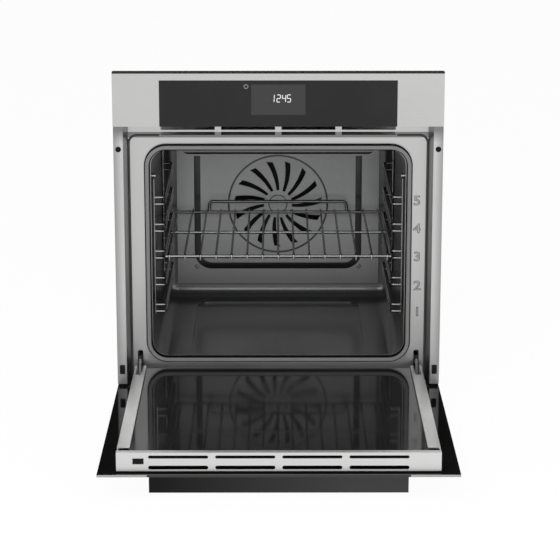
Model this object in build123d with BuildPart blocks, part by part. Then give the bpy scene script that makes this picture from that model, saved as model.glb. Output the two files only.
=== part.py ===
from build123d import *
import os
from math import asin, cos, degrees, radians, sin

os.makedirs("parts", exist_ok=True)

# A 60 cm built-in wall oven with its drop-down door open.
# X runs to the right, Y into the cabinet, Z up. The origin is the centre of the base's footprint.
# All sizes are in millimetres.

# Overall sizes
front_width = 595.0
front_height = 595.0
front_lap = 22.5
casing_depth = 524.0
bay_drop = 45.0
bay_depth = 228.0
rear_step = 50.0
frame_setback = 22.0
casing_sheet = 1.0
frame_sheet = 1.5
running_gap = 0.3
fit_gap = 0.1

# Fascia, display and controls
fascia_height = 98.0
fascia_proud = 21.0
fascia_sheet = 1.2
fascia_edge = 1.0
panel_width = 427.0
panel_height = 84.0
panel_glass = 4.0
carrier_plate = 3.0
carrier_wall = 2.5
carrier_rim_width = 450.0
carrier_rim_height = 45.0
carrier_lift = 3.0
lcd_width = 97.0
lcd_height = 55.0
lcd_drop = 23.5
board_width = 360.0
board_height = 36.0
board_thickness = 1.6
relay_size = 14.0
relay_count = 5
relay_pitch = 60.0

# Louver and the slot pattern that it shares with the door
slot_count = 4
slot_web = 11.5
louver_lap = 2.0
louver_slot = 6.0
louver_slot_round = 1.2
louver_bar = 3.5
louver_margin = 4.5
deck_lift = 1.0
mouth_clear = 1.0

# Side trims
trim_proud = 14.0
trim_width = 17.5
trim_inset = 7.0
trim_bottom = 11.0
screw_hole = 8.5
screw_hole_edge = 8.8
screw_hole_drop = 141.0

# Front frame, gasket and cavity
frame_drop = 28.0
frame_rim = 24.0
cavity_side = 42.0
cavity_bottom = 56.0
cavity_rear_space = 112.5
cavity_wall = 1.2
cavity_corner = 28.0
cavity_rear_round = 26.0
cavity_flange = 10.0
floor_press = 3.0
floor_press_side = 70.0
floor_press_rear = 46.5
floor_press_setback = 52.0
floor_press_round = 25.0
gasket_lip = 1.0
gasket_width = 11.0
gasket_round = 4.0

# Fan chamber, fan cover and fan
chamber_side = 61.0
chamber_head = 45.0
chamber_lift = 57.0
chamber_depth = 45.0
chamber_corner = 36.0
cover_sheet = 1.5
cover_channel = 13.0
cover_channel_round = 35.0
cover_margin = 1.0
cover_bridge = 14.0
cover_ring = 203.0
cover_ring_groove = 2.0
cover_ring_depth = 0.6
cover_hub = 38.0
swirl_count = 15
swirl_inner = 28.5
swirl_middle = 57.0
swirl_outer = 89.0
swirl_turn = 11.3
swirl_middle_turn = 4.7
swirl_inner_width = 5.6
swirl_outer_width = 12.5
cover_screw_side = 6.0
cover_screw_rise = 6.0
cover_screw_head = 9.0
cover_screw_height = 2.5
fan_diameter = 156.0
fan_depth = 24.0
fan_hub = 30.0
fan_blades = 8
fan_blade_thickness = 1.5
fan_plate = 1.5
fan_front_gap = 9.0
shaft_diameter = 8.0
motor_diameter = 74.0
motor_length = 42.0
motor_flange = 110.0
motor_flange_thickness = 3.0
motor_bore_depth = 34.0

# Heating elements, lamp and probe
element_tube = 6.5
element_hole_gap = 1.0
ring_diameter = 190.0
ring_setback = 22.0
ring_leg_spread = 40.0
element_tail = 12.0
grill_drop = 15.0
element_run_pitch = 80.0
element_bend = 30.0
element_front = 110.0
element_rear_space = 66.5
apron_side = 51.0
apron_height = 25.0
apron_setback = 88.0
apron_round = 14.0
apron_flange = 14.0
apron_sheet = 1.2
lamp_side = 83.0
lamp_rear_space = 121.5
lamp_lens = 60.0
lamp_lens_thickness = 5.0
lamp_box = 70.0
lamp_box_height = 38.0
lamp_wall = 2.0
probe_side = 58.0
probe_diameter = 4.0
probe_length = 70.0
probe_drop = 14.0
wool_side = 24.0
wool_top = 21.0
wool_bottom = 24.0
wool_floor_gap = 12.0
wool_start = 54.0
wool_rear_space = 7.5

# Side racks and wire shelf
guide_wire = 5.0
guide_inset = 22.0
upright_inset = 3.0
upright_under = 3.5
upright_over = 35.9
guide_front = 54.0
guide_rear_space = 72.0
guide_levels = 5
guide_low = 75.5
guide_head = 107.9
guide_pair = 13.0
guide_bend = 6.0
stud_diameter = 9.0
stud_length = 7.0
shelf_level = 2
shelf_frame_wire = 6.0
shelf_wire = 4.0
shelf_wires = 15
shelf_wire_edge = 9.0
shelf_front = 44.0
shelf_bar_rear = 177.0
shelf_rear_space = 26.0
shelf_weld = 1.0
shelf_bend = 4.5
shelf_stub = 10.0
shelf_stub_bend = 5.0
backstop_inset = 72.0
backstop_height = 22.0
backstop_bend = 9.0

# Cooling blower and air duct
blower_width = 250.0
blower_box_depth = 74.0
blower_setback = 90.0
blower_height = 72.0
blower_sheet = 1.0
rotor_diameter = 56.0
rotor_blades = 20
rotor_blade_depth = 8.0
rotor_blade_thickness = 1.2
rotor_disc = 2.0
rotor_end_gap = 6.0
rotor_shaft = 6.0
blower_motor_diameter = 50.0
blower_motor_length = 42.0
duct_height = 19.0
duct_wall = 1.0
inlet_height = 40.0

# Rear panel, terminals and fixings
vent_columns = 9
vent_rows = 4
vent_length = 30.0
vent_slot = 4.0
vent_pitch_x = 42.0
vent_pitch_z = 14.0
vent_drop = 60.0
terminal_width = 60.0
terminal_height = 34.0
terminal_depth = 24.0
terminal_side = 70.0
terminal_z = 60.0
gland_diameter = 22.0
gland_collar = 30.0
gland_length = 10.0
gland_bore = 9.0
gland_z = 30.0
casing_screw_head = 8.0
casing_screw_height = 2.2
casing_screw_edge = 12.0

# Door
door_glass = 4.0
door_glass_bottom = 6.0
door_top_gap = 5.0
door_body_depth = 34.5
door_body_side = 9.0
door_body_bottom = 12.0
door_body_drop = 11.0
rail_wall = 1.5
inner_glass_recess = 5.0
pane_gap = 0.3
mid_glass_depth = 12.0
mid_glass_edge = 4.0
top_rail_height = 23.0
top_rail_wall = 1.5
top_rail_lip = 12.0
bottom_rail_height = 28.0
door_slot_low = 5.5
door_slot_low_height = 6.5
door_slot_high = 24.3
door_slot_high_height = 5.2
plate_inset_width = 20.0
plate_inset_height = 11.4
plate_inset_depth = 0.5
plate_inset_side = 36.0
plate_inset_offset = 21.5

# Handle
handle_width = 431.0
handle_drop = 50.0
handle_height = 20.0
handle_thickness = 29.5
handle_gap = 17.0
handle_round = 1.5
post_inset = 25.5
post_diameter = 14.0
post_stud = 5.0
post_washer = 12.0
post_washer_thickness = 3.0

# Hinges
hinge_axis_depth = 17.0
hinge_axis_z = 19.2
hinge_side = 18.0
hinge_pin = 8.0
arm_thickness = 4.0
arm_eye = 16.0
arm_top = 52.0
arm_bottom = 16.0
arm_reach = 38.0
arm_notch = 6.0
hinge_slot_width = 10.0
hinge_slot_top = 66.0
receiver_width = 14.0
receiver_wall = 1.5
receiver_depth = 42.0
receiver_bottom = 8.0
receiver_top = 72.0
lock_pivot_back = 8.0
lock_pivot_drop = 8.0
lock_pin = 3.0
lock_plate = 1.2
lock_length = 10.0
lock_height = 7.0
lock_bar = 3.0
lock_side_gap = 0.4
rod_diameter = 6.0
rod_start = 96.0
rod_length = 150.0
rod_head = 13.0
rod_head_thickness = 4.0
spring_length = 110.0
spring_diameter = 12.0
seat_thickness = 4.0
seat_start = 112.0

# Planes and limits that follow from the sizes above
casing_width = front_width - 2 * front_lap
half_front = front_width / 2
half_casing = casing_width / 2
side_inner = half_casing - casing_sheet
cavity_width = casing_width - 2 * cavity_side
half_cavity = cavity_width / 2
frame_y = -casing_depth / 2
frame_back_y = frame_y + frame_sheet
cabinet_y = frame_y - frame_setback
rear_y = casing_depth / 2
fascia_y = cabinet_y - fascia_proud
fascia_bottom = front_height - fascia_height
bay_height = front_height - bay_drop
rear_height = bay_height - rear_step
frame_top = fascia_bottom - frame_drop
deck_height = frame_top + deck_lift
cavity_top = frame_top - frame_rim
cavity_height = cavity_top - cavity_bottom
cavity_middle = cavity_bottom + cavity_height / 2
cavity_depth = casing_depth - cavity_rear_space
cavity_rear_y = frame_back_y + cavity_depth
cavity_end = cavity_rear_y - cabinet_y
chamber_width = cavity_width - 2 * chamber_side
chamber_bottom = cavity_bottom + chamber_lift
chamber_top = cavity_top - chamber_head
chamber_height = chamber_top - chamber_bottom
chamber_rear_y = cavity_rear_y + chamber_depth
cover_screw_spread = chamber_width - 2 * cover_screw_side
cover_screw_low = chamber_bottom + cover_screw_rise
cover_screw_high = chamber_top + cover_screw_rise
floor_press_width = cavity_width - 2 * floor_press_side
floor_press_depth = cavity_depth - floor_press_setback - floor_press_rear
panel_back_y = fascia_y + panel_glass
slot_length = (panel_width - (slot_count - 1) * slot_web) / slot_count
slot_pitch = slot_length + slot_web
element_turn = cavity_depth - element_rear_space
apron_width = cavity_width - 2 * apron_side
lamp_x = lamp_side - half_cavity
lamp_setback = cavity_depth - lamp_rear_space
probe_x = half_cavity - probe_side
wool_length = cavity_depth - wool_start - wool_rear_space
guide_spread = cavity_width - 2 * guide_inset
upright_spread = cavity_width - 2 * upright_inset
guide_first = cavity_bottom + guide_low
guide_last = cavity_top - guide_head
guide_pitch = (guide_last - guide_first) / (guide_levels - 1)
upright_bottom = guide_first - upright_under
upright_top = guide_last + guide_pair + upright_over
guide_rear = cavity_end - guide_rear_space
shelf_rear = cavity_end - shelf_rear_space
shelf_middle = shelf_rear - shelf_bar_rear
shelf_wire_pitch = (guide_spread - 2 * shelf_wire_edge) / (shelf_wires - 1)
shelf_z = guide_first + shelf_level * guide_pitch + (guide_wire + shelf_frame_wire) / 2 + running_gap
backstop_width = guide_spread - 2 * backstop_inset
vent_height = rear_height - vent_drop
terminal_x = half_casing - terminal_side
door_face_y = fascia_y
door_glass_y = door_face_y + door_glass
door_inner_y = door_glass_y + door_body_depth
door_glass_top = fascia_bottom - door_top_gap
door_body_top = door_glass_top - door_body_drop
inner_glass_y = door_inner_y - inner_glass_recess
gasket_height = frame_y - inner_glass_y - running_gap
half_body = half_casing - door_body_side
rail_inner_x = half_cavity + gasket_lip + gasket_width + running_gap
rail_width = half_body - rail_inner_x
plate_inset_x = plate_inset_side - half_body
post_spread = handle_width - 2 * post_inset
hinge_x = half_casing - hinge_side
hinge_y = door_face_y + hinge_axis_depth
hinge_axis = Axis((0, hinge_y, hinge_axis_z), (-1, 0, 0))
door_open_angle = -90


def block(x_low, x_high, y_low, y_high, z_low, z_high, mode=Mode.ADD):
    """Put a box between its six limits."""
    centre = ((x_low + x_high) / 2, (y_low + y_high) / 2, (z_low + z_high) / 2)
    with Locations(centre):
        Box(x_high - x_low, y_high - y_low, z_high - z_low, mode=mode)


def front_plane(y):
    """A plane that faces the front, whose axes are X and Z."""
    return Plane.XZ.offset(-y)


def keep(piece, name):
    """Label a finished piece and write its file."""
    piece.label = name
    export_step(piece, f"parts/{name}.step")


def open_door(piece):
    """Swing a piece of the closed door down to where the open door holds it."""
    return piece.rotate(hinge_axis, door_open_angle)


# Fascia: a steel tray, open at the back, with a notch for the display glass
with BuildPart() as fascia_panel:
    block(-half_front, half_front, fascia_y, cabinet_y, fascia_bottom, front_height)
    fillet(fascia_panel.edges().filter_by(Axis.Z).group_by(Axis.Y)[0], fascia_edge)
    tray_x = half_front - fascia_sheet
    block(-tray_x, tray_x, fascia_y + fascia_sheet, cabinet_y, fascia_bottom,
          front_height - fascia_sheet, Mode.SUBTRACT)
    notch_x = panel_width / 2
    block(-notch_x, notch_x, fascia_y, cabinet_y, fascia_bottom,
          fascia_bottom + panel_height, Mode.SUBTRACT)
keep(fascia_panel.part, "fascia_panel")

with BuildPart() as display_glass:
    glass_x = panel_width / 2 - fit_gap
    block(-glass_x, glass_x, fascia_y, panel_back_y, fascia_bottom,
          fascia_bottom + panel_height - fit_gap)
keep(display_glass.part, "display_glass")

# Plastic carrier: a plate behind the glass and a rim that reaches back to the deck's front wall
lcd_top = front_height - lcd_drop
lcd_bottom = lcd_top - lcd_height
carrier_back_y = panel_back_y + carrier_plate
with BuildPart() as fascia_carrier:
    block(-tray_x, tray_x, panel_back_y, carrier_back_y, fascia_bottom,
          front_height - fascia_sheet)
    window_x = lcd_width / 2 + running_gap
    block(-window_x, window_x, panel_back_y, carrier_back_y, lcd_bottom - running_gap,
          lcd_top + running_gap, Mode.SUBTRACT)
    rim_x = carrier_rim_width / 2
    rim_bottom = fascia_bottom + carrier_lift
    rim_top = rim_bottom + carrier_rim_height
    block(-rim_x, rim_x, carrier_back_y, frame_back_y, rim_bottom, rim_top)
    block(-rim_x + carrier_wall, rim_x - carrier_wall, carrier_back_y, frame_back_y,
          rim_bottom + carrier_wall, rim_top - carrier_wall, Mode.SUBTRACT)
keep(fascia_carrier.part, "fascia_carrier")

with BuildPart() as display_module:
    block(-lcd_width / 2, lcd_width / 2, panel_back_y, carrier_back_y, lcd_bottom, lcd_top)
keep(display_module.part, "display_module")

# Control board with a row of relays on its back
board_bottom = rim_bottom + carrier_wall + running_gap
with BuildPart() as control_board:
    board_back_y = carrier_back_y + board_thickness
    block(-board_width / 2, board_width / 2, carrier_back_y, board_back_y, board_bottom,
          board_bottom + board_height)
    relay_centre = (0, board_back_y + relay_size / 2, board_bottom + board_height / 2)
    with Locations(relay_centre):
        with GridLocations(relay_pitch, relay_pitch, relay_count, 1):
            Box(relay_size, relay_size, relay_size)
keep(control_board.part, "control_board")

# Louver under the fascia: two rows of air slots
louver_top = fascia_bottom + louver_lap
low_row_z = frame_top + louver_margin + louver_slot / 2
high_row_z = low_row_z + louver_slot + louver_bar
with BuildPart() as louver_plate:
    block(-half_casing, half_casing, frame_y, frame_back_y, frame_top, louver_top)
    with BuildSketch(front_plane(frame_y)):
        for row_z in (low_row_z, high_row_z):
            with Locations((0, row_z)):
                with GridLocations(slot_pitch, louver_slot, slot_count, 1):
                    RectangleRounded(slot_length, louver_slot, louver_slot_round)
    extrude(amount=-frame_sheet, mode=Mode.SUBTRACT)
keep(louver_plate.part, "louver_plate")

# Control deck: the floor of the bay over the cavity, with an upright front wall for the air mouth
deck_top = deck_height + casing_sheet
duct_bottom = deck_top
duct_top = duct_bottom + duct_height
deck_wall_back_y = frame_back_y + frame_sheet
bay_back_y = frame_y + bay_depth
mouth_x = panel_width / 2 + mouth_clear
with BuildPart() as control_deck:
    block(-side_inner, side_inner, frame_back_y, bay_back_y, deck_height, deck_top)
    block(-side_inner, side_inner, frame_back_y, deck_wall_back_y, deck_height,
          bay_height - casing_sheet)
    block(-mouth_x, mouth_x, frame_back_y, deck_wall_back_y, deck_top,
          duct_top - duct_wall, Mode.SUBTRACT)
keep(control_deck.part, "control_deck")


def side_trim(side, name):
    """A folded trim strip that laps the cabinet's front edge and reaches back to the frame."""
    fold_x = half_front - trim_width
    foot_x = fold_x - trim_inset
    trim_y = cabinet_y - trim_proud
    outline = [
        (half_front, cabinet_y),
        (half_front, trim_y),
        (fold_x, trim_y),
        (foot_x, frame_y),
        (foot_x + frame_sheet, frame_y),
        (fold_x + frame_sheet, trim_y + frame_sheet),
        (half_front - frame_sheet, trim_y + frame_sheet),
        (half_front - frame_sheet, cabinet_y),
    ]
    with BuildPart() as trim:
        with BuildSketch(Plane.XY.offset(trim_bottom)):
            with BuildLine():
                Polyline(*[(side * x, y) for x, y in outline], close=True)
            make_face()
        extrude(amount=fascia_bottom - trim_bottom)
        with BuildSketch(front_plane(trim_y)):
            with Locations((side * (half_front - screw_hole_edge), front_height - screw_hole_drop)):
                Circle(screw_hole / 2)
        extrude(amount=-frame_sheet, mode=Mode.SUBTRACT)
    keep(trim.part, name)


side_trim(-1, "side_trim_left")
side_trim(1, "side_trim_right")

# Front frame: a plate round the cavity's mouth with a slot for each hinge
with BuildPart() as front_frame:
    block(-half_casing, half_casing, frame_y, frame_back_y, casing_sheet, frame_top)
    with BuildSketch(front_plane(frame_y)):
        with Locations((0, cavity_middle)):
            RectangleRounded(cavity_width, cavity_height, cavity_corner)
        slot_height = hinge_slot_top - receiver_bottom
        with Locations((0, receiver_bottom + slot_height / 2)):
            with GridLocations(2 * hinge_x, slot_height, 2, 1):
                SlotOverall(slot_height, hinge_slot_width, rotation=90)
    extrude(amount=-frame_sheet, mode=Mode.SUBTRACT)
keep(front_frame.part, "front_frame")

# Door gasket: a round-shouldered seal on the frame's face
with BuildPart() as door_gasket:
    with BuildSketch(front_plane(frame_y)):
        seal_grow = 2 * (gasket_lip + gasket_width)
        with Locations((0, cavity_middle)):
            RectangleRounded(cavity_width + seal_grow, cavity_height + seal_grow,
                             cavity_corner + seal_grow / 2)
            RectangleRounded(cavity_width + 2 * gasket_lip, cavity_height + 2 * gasket_lip,
                             cavity_corner + gasket_lip, mode=Mode.SUBTRACT)
    extrude(amount=gasket_height)
    fillet(door_gasket.faces().sort_by(Axis.Y)[0].edges(), gasket_round)
keep(door_gasket.part, "door_gasket")

# Oven cavity: an enamelled box with rounded edges, a fan chamber pressed into its rear wall,
# a flange round its mouth, a pressed floor, and holes for what passes through its walls
shaft_z = cavity_middle
grill_z = cavity_top - grill_drop
ring_y = cavity_rear_y + ring_setback
ring_radius = ring_diameter / 2
ring_leg_x = ring_leg_spread / 2
ring_leg_z = shaft_z - (ring_radius**2 - ring_leg_x**2) ** 0.5
element_hole = (element_tube + element_hole_gap) / 2
run_outer_x = element_run_pitch * 3 / 2
lamp_y = frame_back_y + lamp_setback
probe_z = cavity_top - probe_drop
press_y = frame_back_y + floor_press_setback + floor_press_depth / 2
chamber_middle = chamber_bottom + chamber_height / 2
with BuildPart() as cavity_space:
    with BuildSketch(front_plane(frame_back_y)):
        with Locations((0, cavity_middle)):
            RectangleRounded(cavity_width, cavity_height, cavity_corner)
    extrude(amount=-cavity_depth)
    fillet(cavity_space.faces().sort_by(Axis.Y)[-1].edges(), cavity_rear_round)
    with BuildSketch(front_plane(cavity_rear_y)):
        with Locations((0, chamber_middle)):
            RectangleRounded(chamber_width, chamber_height, chamber_corner)
    extrude(amount=-chamber_depth)
    with BuildSketch(Plane.XY.offset(cavity_bottom)):
        with Locations((0, press_y)):
            RectangleRounded(floor_press_width, floor_press_depth, floor_press_round)
    extrude(amount=-floor_press)

with BuildPart() as oven_cavity:
    with BuildSketch(front_plane(frame_back_y)):
        with Locations((0, cavity_middle)):
            RectangleRounded(cavity_width + 2 * cavity_wall, cavity_height + 2 * cavity_wall,
                             cavity_corner + cavity_wall)
    extrude(amount=-(cavity_depth + cavity_wall))
    fillet(oven_cavity.faces().sort_by(Axis.Y)[-1].edges(), cavity_rear_round + cavity_wall)
    with BuildSketch(front_plane(cavity_rear_y)):
        with Locations((0, chamber_middle)):
            RectangleRounded(chamber_width + 2 * cavity_wall, chamber_height + 2 * cavity_wall,
                             chamber_corner + cavity_wall)
    extrude(amount=-(chamber_depth + cavity_wall))
    with BuildSketch(front_plane(frame_back_y)):
        flange_grow = 2 * (cavity_wall + cavity_flange)
        with Locations((0, cavity_middle)):
            RectangleRounded(cavity_width + flange_grow, cavity_height + flange_grow,
                             cavity_corner + flange_grow / 2)
    extrude(amount=-cavity_wall)
    with BuildSketch(Plane.XY.offset(cavity_bottom)):
        with Locations((0, press_y)):
            RectangleRounded(floor_press_width + 2 * cavity_wall,
                             floor_press_depth + 2 * cavity_wall, floor_press_round + cavity_wall)
    extrude(amount=-(floor_press + cavity_wall))
    add(cavity_space.part, mode=Mode.SUBTRACT)
    with BuildSketch(front_plane(chamber_rear_y)):
        with Locations((0, shaft_z)):
            Circle(shaft_diameter / 2 + element_hole_gap)
        with Locations((-ring_leg_x, ring_leg_z), (ring_leg_x, ring_leg_z)):
            Circle(element_hole)
    extrude(amount=-cavity_wall, mode=Mode.SUBTRACT)
    with BuildSketch(front_plane(cavity_rear_y - cavity_rear_round)):
        with Locations((-run_outer_x, grill_z), (run_outer_x, grill_z)):
            Circle(element_hole)
        with Locations((probe_x, probe_z)):
            Circle((probe_diameter + element_hole_gap) / 2)
    extrude(amount=-(cavity_rear_round + cavity_wall), mode=Mode.SUBTRACT)
    with BuildSketch(Plane.XY.offset(cavity_top)):
        with Locations((lamp_x, lamp_y)):
            Circle(lamp_lens / 2 + running_gap)
    extrude(amount=cavity_wall, mode=Mode.SUBTRACT)
keep(oven_cavity.part, "oven_cavity")

# Fan cover: a plate over the fan chamber, cut by a channel on three sides and by curved slots
cover_front_y = cavity_rear_y - cover_sheet
cover_x = half_cavity - cavity_rear_round - cover_margin
cover_bottom = cavity_bottom + cavity_rear_round + cover_margin
cover_top = cavity_top - cavity_rear_round - cover_margin
channel_x = chamber_width / 2 - cover_margin
channel_bottom = chamber_bottom + cover_margin
channel_top = chamber_bottom + chamber_height - cover_bridge


def polar(radius, angle):
    """A point of the fan cover's face, from the fan's axis."""
    return (radius * cos(radians(angle)), radius * sin(radians(angle)))


def swirl_slot():
    """One curved slot, wider at its outer end."""
    inner_half = Vector(swirl_inner_width / 2, 0)
    outer_half = Vector(swirl_outer_width / 2, 0)
    middle_half = (inner_half + outer_half) / 2
    upright = 90
    inner = Vector(*polar(swirl_inner, upright))
    middle = Vector(*polar(swirl_middle, upright + swirl_middle_turn))
    outer = Vector(*polar(swirl_outer, upright + swirl_turn))
    with BuildLine() as outline:
        ThreePointArc(inner - inner_half, middle - middle_half, outer - outer_half)
        Line(outer - outer_half, outer + outer_half)
        ThreePointArc(outer + outer_half, middle + middle_half, inner + inner_half)
        Line(inner + inner_half, inner - inner_half)
    return make_face(outline.edges(), mode=Mode.PRIVATE)


swirl = swirl_slot()
with BuildPart() as fan_cover:
    block(-cover_x, cover_x, cover_front_y, cavity_rear_y, cover_bottom, cover_top)
    with BuildSketch(front_plane(cover_front_y)):
        channel_height = channel_top - channel_bottom
        with Locations((0, (channel_top + channel_bottom) / 2)):
            RectangleRounded(2 * channel_x, channel_height, cover_channel_round)
            RectangleRounded(2 * (channel_x - cover_channel), channel_height - 2 * cover_channel,
                             cover_channel_round - cover_channel, mode=Mode.SUBTRACT)
        with Locations((0, channel_top)):
            bridge_depth = 2 * cover_channel_round
            Rectangle(2 * channel_x, bridge_depth, mode=Mode.SUBTRACT)
        with Locations((0, shaft_z)):
            with PolarLocations(0, swirl_count):
                add(swirl)
        with Locations((-cover_screw_spread / 2, cover_screw_low),
                       (cover_screw_spread / 2, cover_screw_low),
                       (-cover_screw_spread / 2, cover_screw_high),
                       (cover_screw_spread / 2, cover_screw_high)):
            Circle(cover_screw_head / 4)
    extrude(amount=-cover_sheet, mode=Mode.SUBTRACT)
    with BuildSketch(front_plane(cover_front_y)):
        with Locations((0, shaft_z)):
            Circle(cover_ring / 2)
            Circle(cover_ring / 2 - cover_ring_groove, mode=Mode.SUBTRACT)
            Circle(cover_hub / 2)
            Circle(cover_hub / 2 - cover_ring_groove, mode=Mode.SUBTRACT)
    extrude(amount=-cover_ring_depth, mode=Mode.SUBTRACT)
keep(fan_cover.part, "fan_cover")

with BuildPart() as fan_cover_screws:
    with BuildSketch(front_plane(cover_front_y)):
        with Locations((0, (cover_screw_low + cover_screw_high) / 2)):
            with GridLocations(cover_screw_spread, cover_screw_high - cover_screw_low, 2, 2):
                Circle(cover_screw_head / 2)
    extrude(amount=cover_screw_height)
    fillet(fan_cover_screws.faces().group_by(Axis.Y)[0].edges(), cover_screw_height / 2)
keep(fan_cover_screws.part, "fan_cover_screws")

# Convection fan: a back plate with radial blades, a hub and a shaft that runs into the motor
fan_front_y = cavity_rear_y + fan_front_gap
fan_back_y = fan_front_y + fan_depth
motor_front_y = chamber_rear_y + cavity_wall
bore_bottom_y = motor_front_y + motor_bore_depth
with BuildPart() as convection_fan:
    with BuildSketch(front_plane(fan_back_y)):
        with Locations((0, shaft_z)):
            Circle(fan_diameter / 2)
    extrude(amount=fan_plate)
    with BuildSketch(front_plane(fan_back_y)):
        with Locations((0, shaft_z)):
            Circle(fan_hub / 2)
            blade_length = (fan_diameter - fan_hub) / 2
            with PolarLocations((fan_diameter + fan_hub) / 4, fan_blades):
                Rectangle(blade_length + fan_plate, fan_blade_thickness)
    extrude(amount=fan_depth)
    with BuildSketch(front_plane(fan_back_y)):
        with Locations((0, shaft_z)):
            Circle(shaft_diameter / 2)
    extrude(amount=fan_back_y - bore_bottom_y + running_gap)
keep(convection_fan.part, "convection_fan")

with BuildPart() as fan_motor:
    with BuildSketch(front_plane(motor_front_y)):
        with Locations((0, shaft_z)):
            Circle(motor_flange / 2)
    extrude(amount=-motor_flange_thickness)
    with BuildSketch(front_plane(motor_front_y)):
        with Locations((0, shaft_z)):
            Circle(motor_diameter / 2)
    extrude(amount=-motor_length)
    with BuildSketch(front_plane(motor_front_y)):
        with Locations((0, shaft_z)):
            Circle(shaft_diameter / 2 + running_gap)
    extrude(amount=-motor_bore_depth, mode=Mode.SUBTRACT)
keep(fan_motor.part, "fan_motor")


def bent_tube(points, bend, diameter):
    """Sweep a round bar along straight runs joined by arcs, into the part being built."""
    with BuildLine() as route:
        FilletPolyline(*points, radius=bend)
    start = Plane(origin=route.line @ 0, z_dir=route.line % 0)
    with BuildSketch(start) as section:
        Circle(diameter / 2)
    sweep(section.sketch, path=route.line)


# Ring element round the fan: an open ring whose ends turn back through the chamber's rear wall
with BuildPart() as ring_element:
    ring_drop = ring_leg_z - shaft_z
    ring_opening = 2 * degrees(asin(ring_leg_x / ring_radius))
    ring_start = Plane(origin=(0, ring_y, shaft_z), x_dir=(-ring_leg_x, 0, ring_drop),
                       z_dir=(-ring_drop, 0, -ring_leg_x))
    with BuildSketch(ring_start):
        with Locations((ring_radius, 0)):
            Circle(element_tube / 2)
    revolve(axis=Axis((0, ring_y, shaft_z), (0, 1, 0)), revolution_arc=360 - ring_opening)
    with BuildSketch(front_plane(ring_y)):
        with Locations((-ring_leg_x, ring_leg_z), (ring_leg_x, ring_leg_z)):
            Circle(element_tube / 2)
    extrude(amount=ring_y - chamber_rear_y - element_tail)
keep(ring_element.part, "ring_element")


def run_points(z, tail_y):
    """The folded route of a flat element, from one tail at the back to the other."""
    near_y = frame_back_y + element_front
    far_y = frame_back_y + element_turn
    run_inner_x = element_run_pitch / 2
    left = [(-run_outer_x, tail_y, z), (-run_outer_x, near_y, z), (-run_inner_x, near_y, z),
            (-run_inner_x, far_y, z)]
    return left + [(-x, y, z) for x, y, z in reversed(left)]


with BuildPart() as grill_element:
    bent_tube(run_points(grill_z, cavity_rear_y + element_tail), element_bend, element_tube)
keep(grill_element.part, "grill_element")

# Bottom element, clamped under the cavity's pressed floor
floor_under_z = cavity_bottom - floor_press - cavity_wall
with BuildPart() as bottom_element:
    bottom_z = floor_under_z - element_tube / 2 - running_gap
    bent_tube(run_points(bottom_z, cavity_rear_y + element_tail), element_bend, element_tube)
keep(bottom_element.part, "bottom_element")

# Apron that hangs from the ceiling in front of the grill element
with BuildPart() as grill_apron:
    apron_y = frame_back_y + apron_setback
    with BuildSketch(front_plane(apron_y)) as apron_face:
        with Locations((0, cavity_top - apron_height / 2)):
            Rectangle(apron_width, apron_height)
        fillet(apron_face.vertices().group_by(Axis.Y)[0], apron_round)
    extrude(amount=-apron_sheet)
    block(-apron_width / 2, apron_width / 2, apron_y, apron_y + apron_flange,
          cavity_top - apron_sheet, cavity_top)
keep(grill_apron.part, "grill_apron")

# Oven lamp: a glass lens in the ceiling and a housing over it
lamp_top = cavity_top + cavity_wall
with BuildPart() as lamp_lens_glass:
    with BuildSketch(Plane.XY.offset(cavity_top)):
        with Locations((lamp_x, lamp_y)):
            Circle(lamp_lens / 2)
    extrude(amount=lamp_lens_thickness)
keep(lamp_lens_glass.part, "lamp_lens")

with BuildPart() as lamp_housing:
    with BuildSketch(Plane.XY.offset(lamp_top)):
        with Locations((lamp_x, lamp_y)):
            RectangleRounded(lamp_box, lamp_box, lamp_wall)
            Circle(lamp_lens / 2 + running_gap, mode=Mode.SUBTRACT)
    extrude(amount=lamp_box_height - lamp_wall)
    with BuildSketch(Plane.XY.offset(lamp_top + lamp_box_height - lamp_wall)):
        with Locations((lamp_x, lamp_y)):
            RectangleRounded(lamp_box, lamp_box, lamp_wall)
    extrude(amount=lamp_wall)
keep(lamp_housing.part, "lamp_housing")

# Temperature probe through the rear wall, under the ceiling
with BuildPart() as temperature_probe:
    with BuildSketch(front_plane(cavity_rear_y + element_tail)):
        with Locations((probe_x, probe_z)):
            Circle(probe_diameter / 2)
    extrude(amount=probe_length)
keep(temperature_probe.part, "temperature_probe")

# Insulation sleeve round the cavity, behind the hinge boxes
with BuildPart() as insulation:
    wool_y = frame_back_y + wool_start
    wool_inner_x = half_cavity + cavity_wall + running_gap
    wool_ceiling = cavity_top + cavity_wall + running_gap
    wool_floor = floor_under_z - wool_floor_gap
    wool_outer_x = wool_inner_x + wool_side
    block(-wool_outer_x, wool_outer_x, wool_y, wool_y + wool_length, wool_floor - wool_bottom,
          wool_ceiling + wool_top)
    block(-wool_inner_x, wool_inner_x, wool_y, wool_y + wool_length, wool_floor, wool_ceiling,
          Mode.SUBTRACT)
    lamp_gap = lamp_box / 2 + running_gap
    block(lamp_x - lamp_gap, lamp_x + lamp_gap, lamp_y - lamp_gap, lamp_y + lamp_gap, wool_ceiling,
          wool_ceiling + wool_top, Mode.SUBTRACT)
keep(insulation.part, "insulation")


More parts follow.
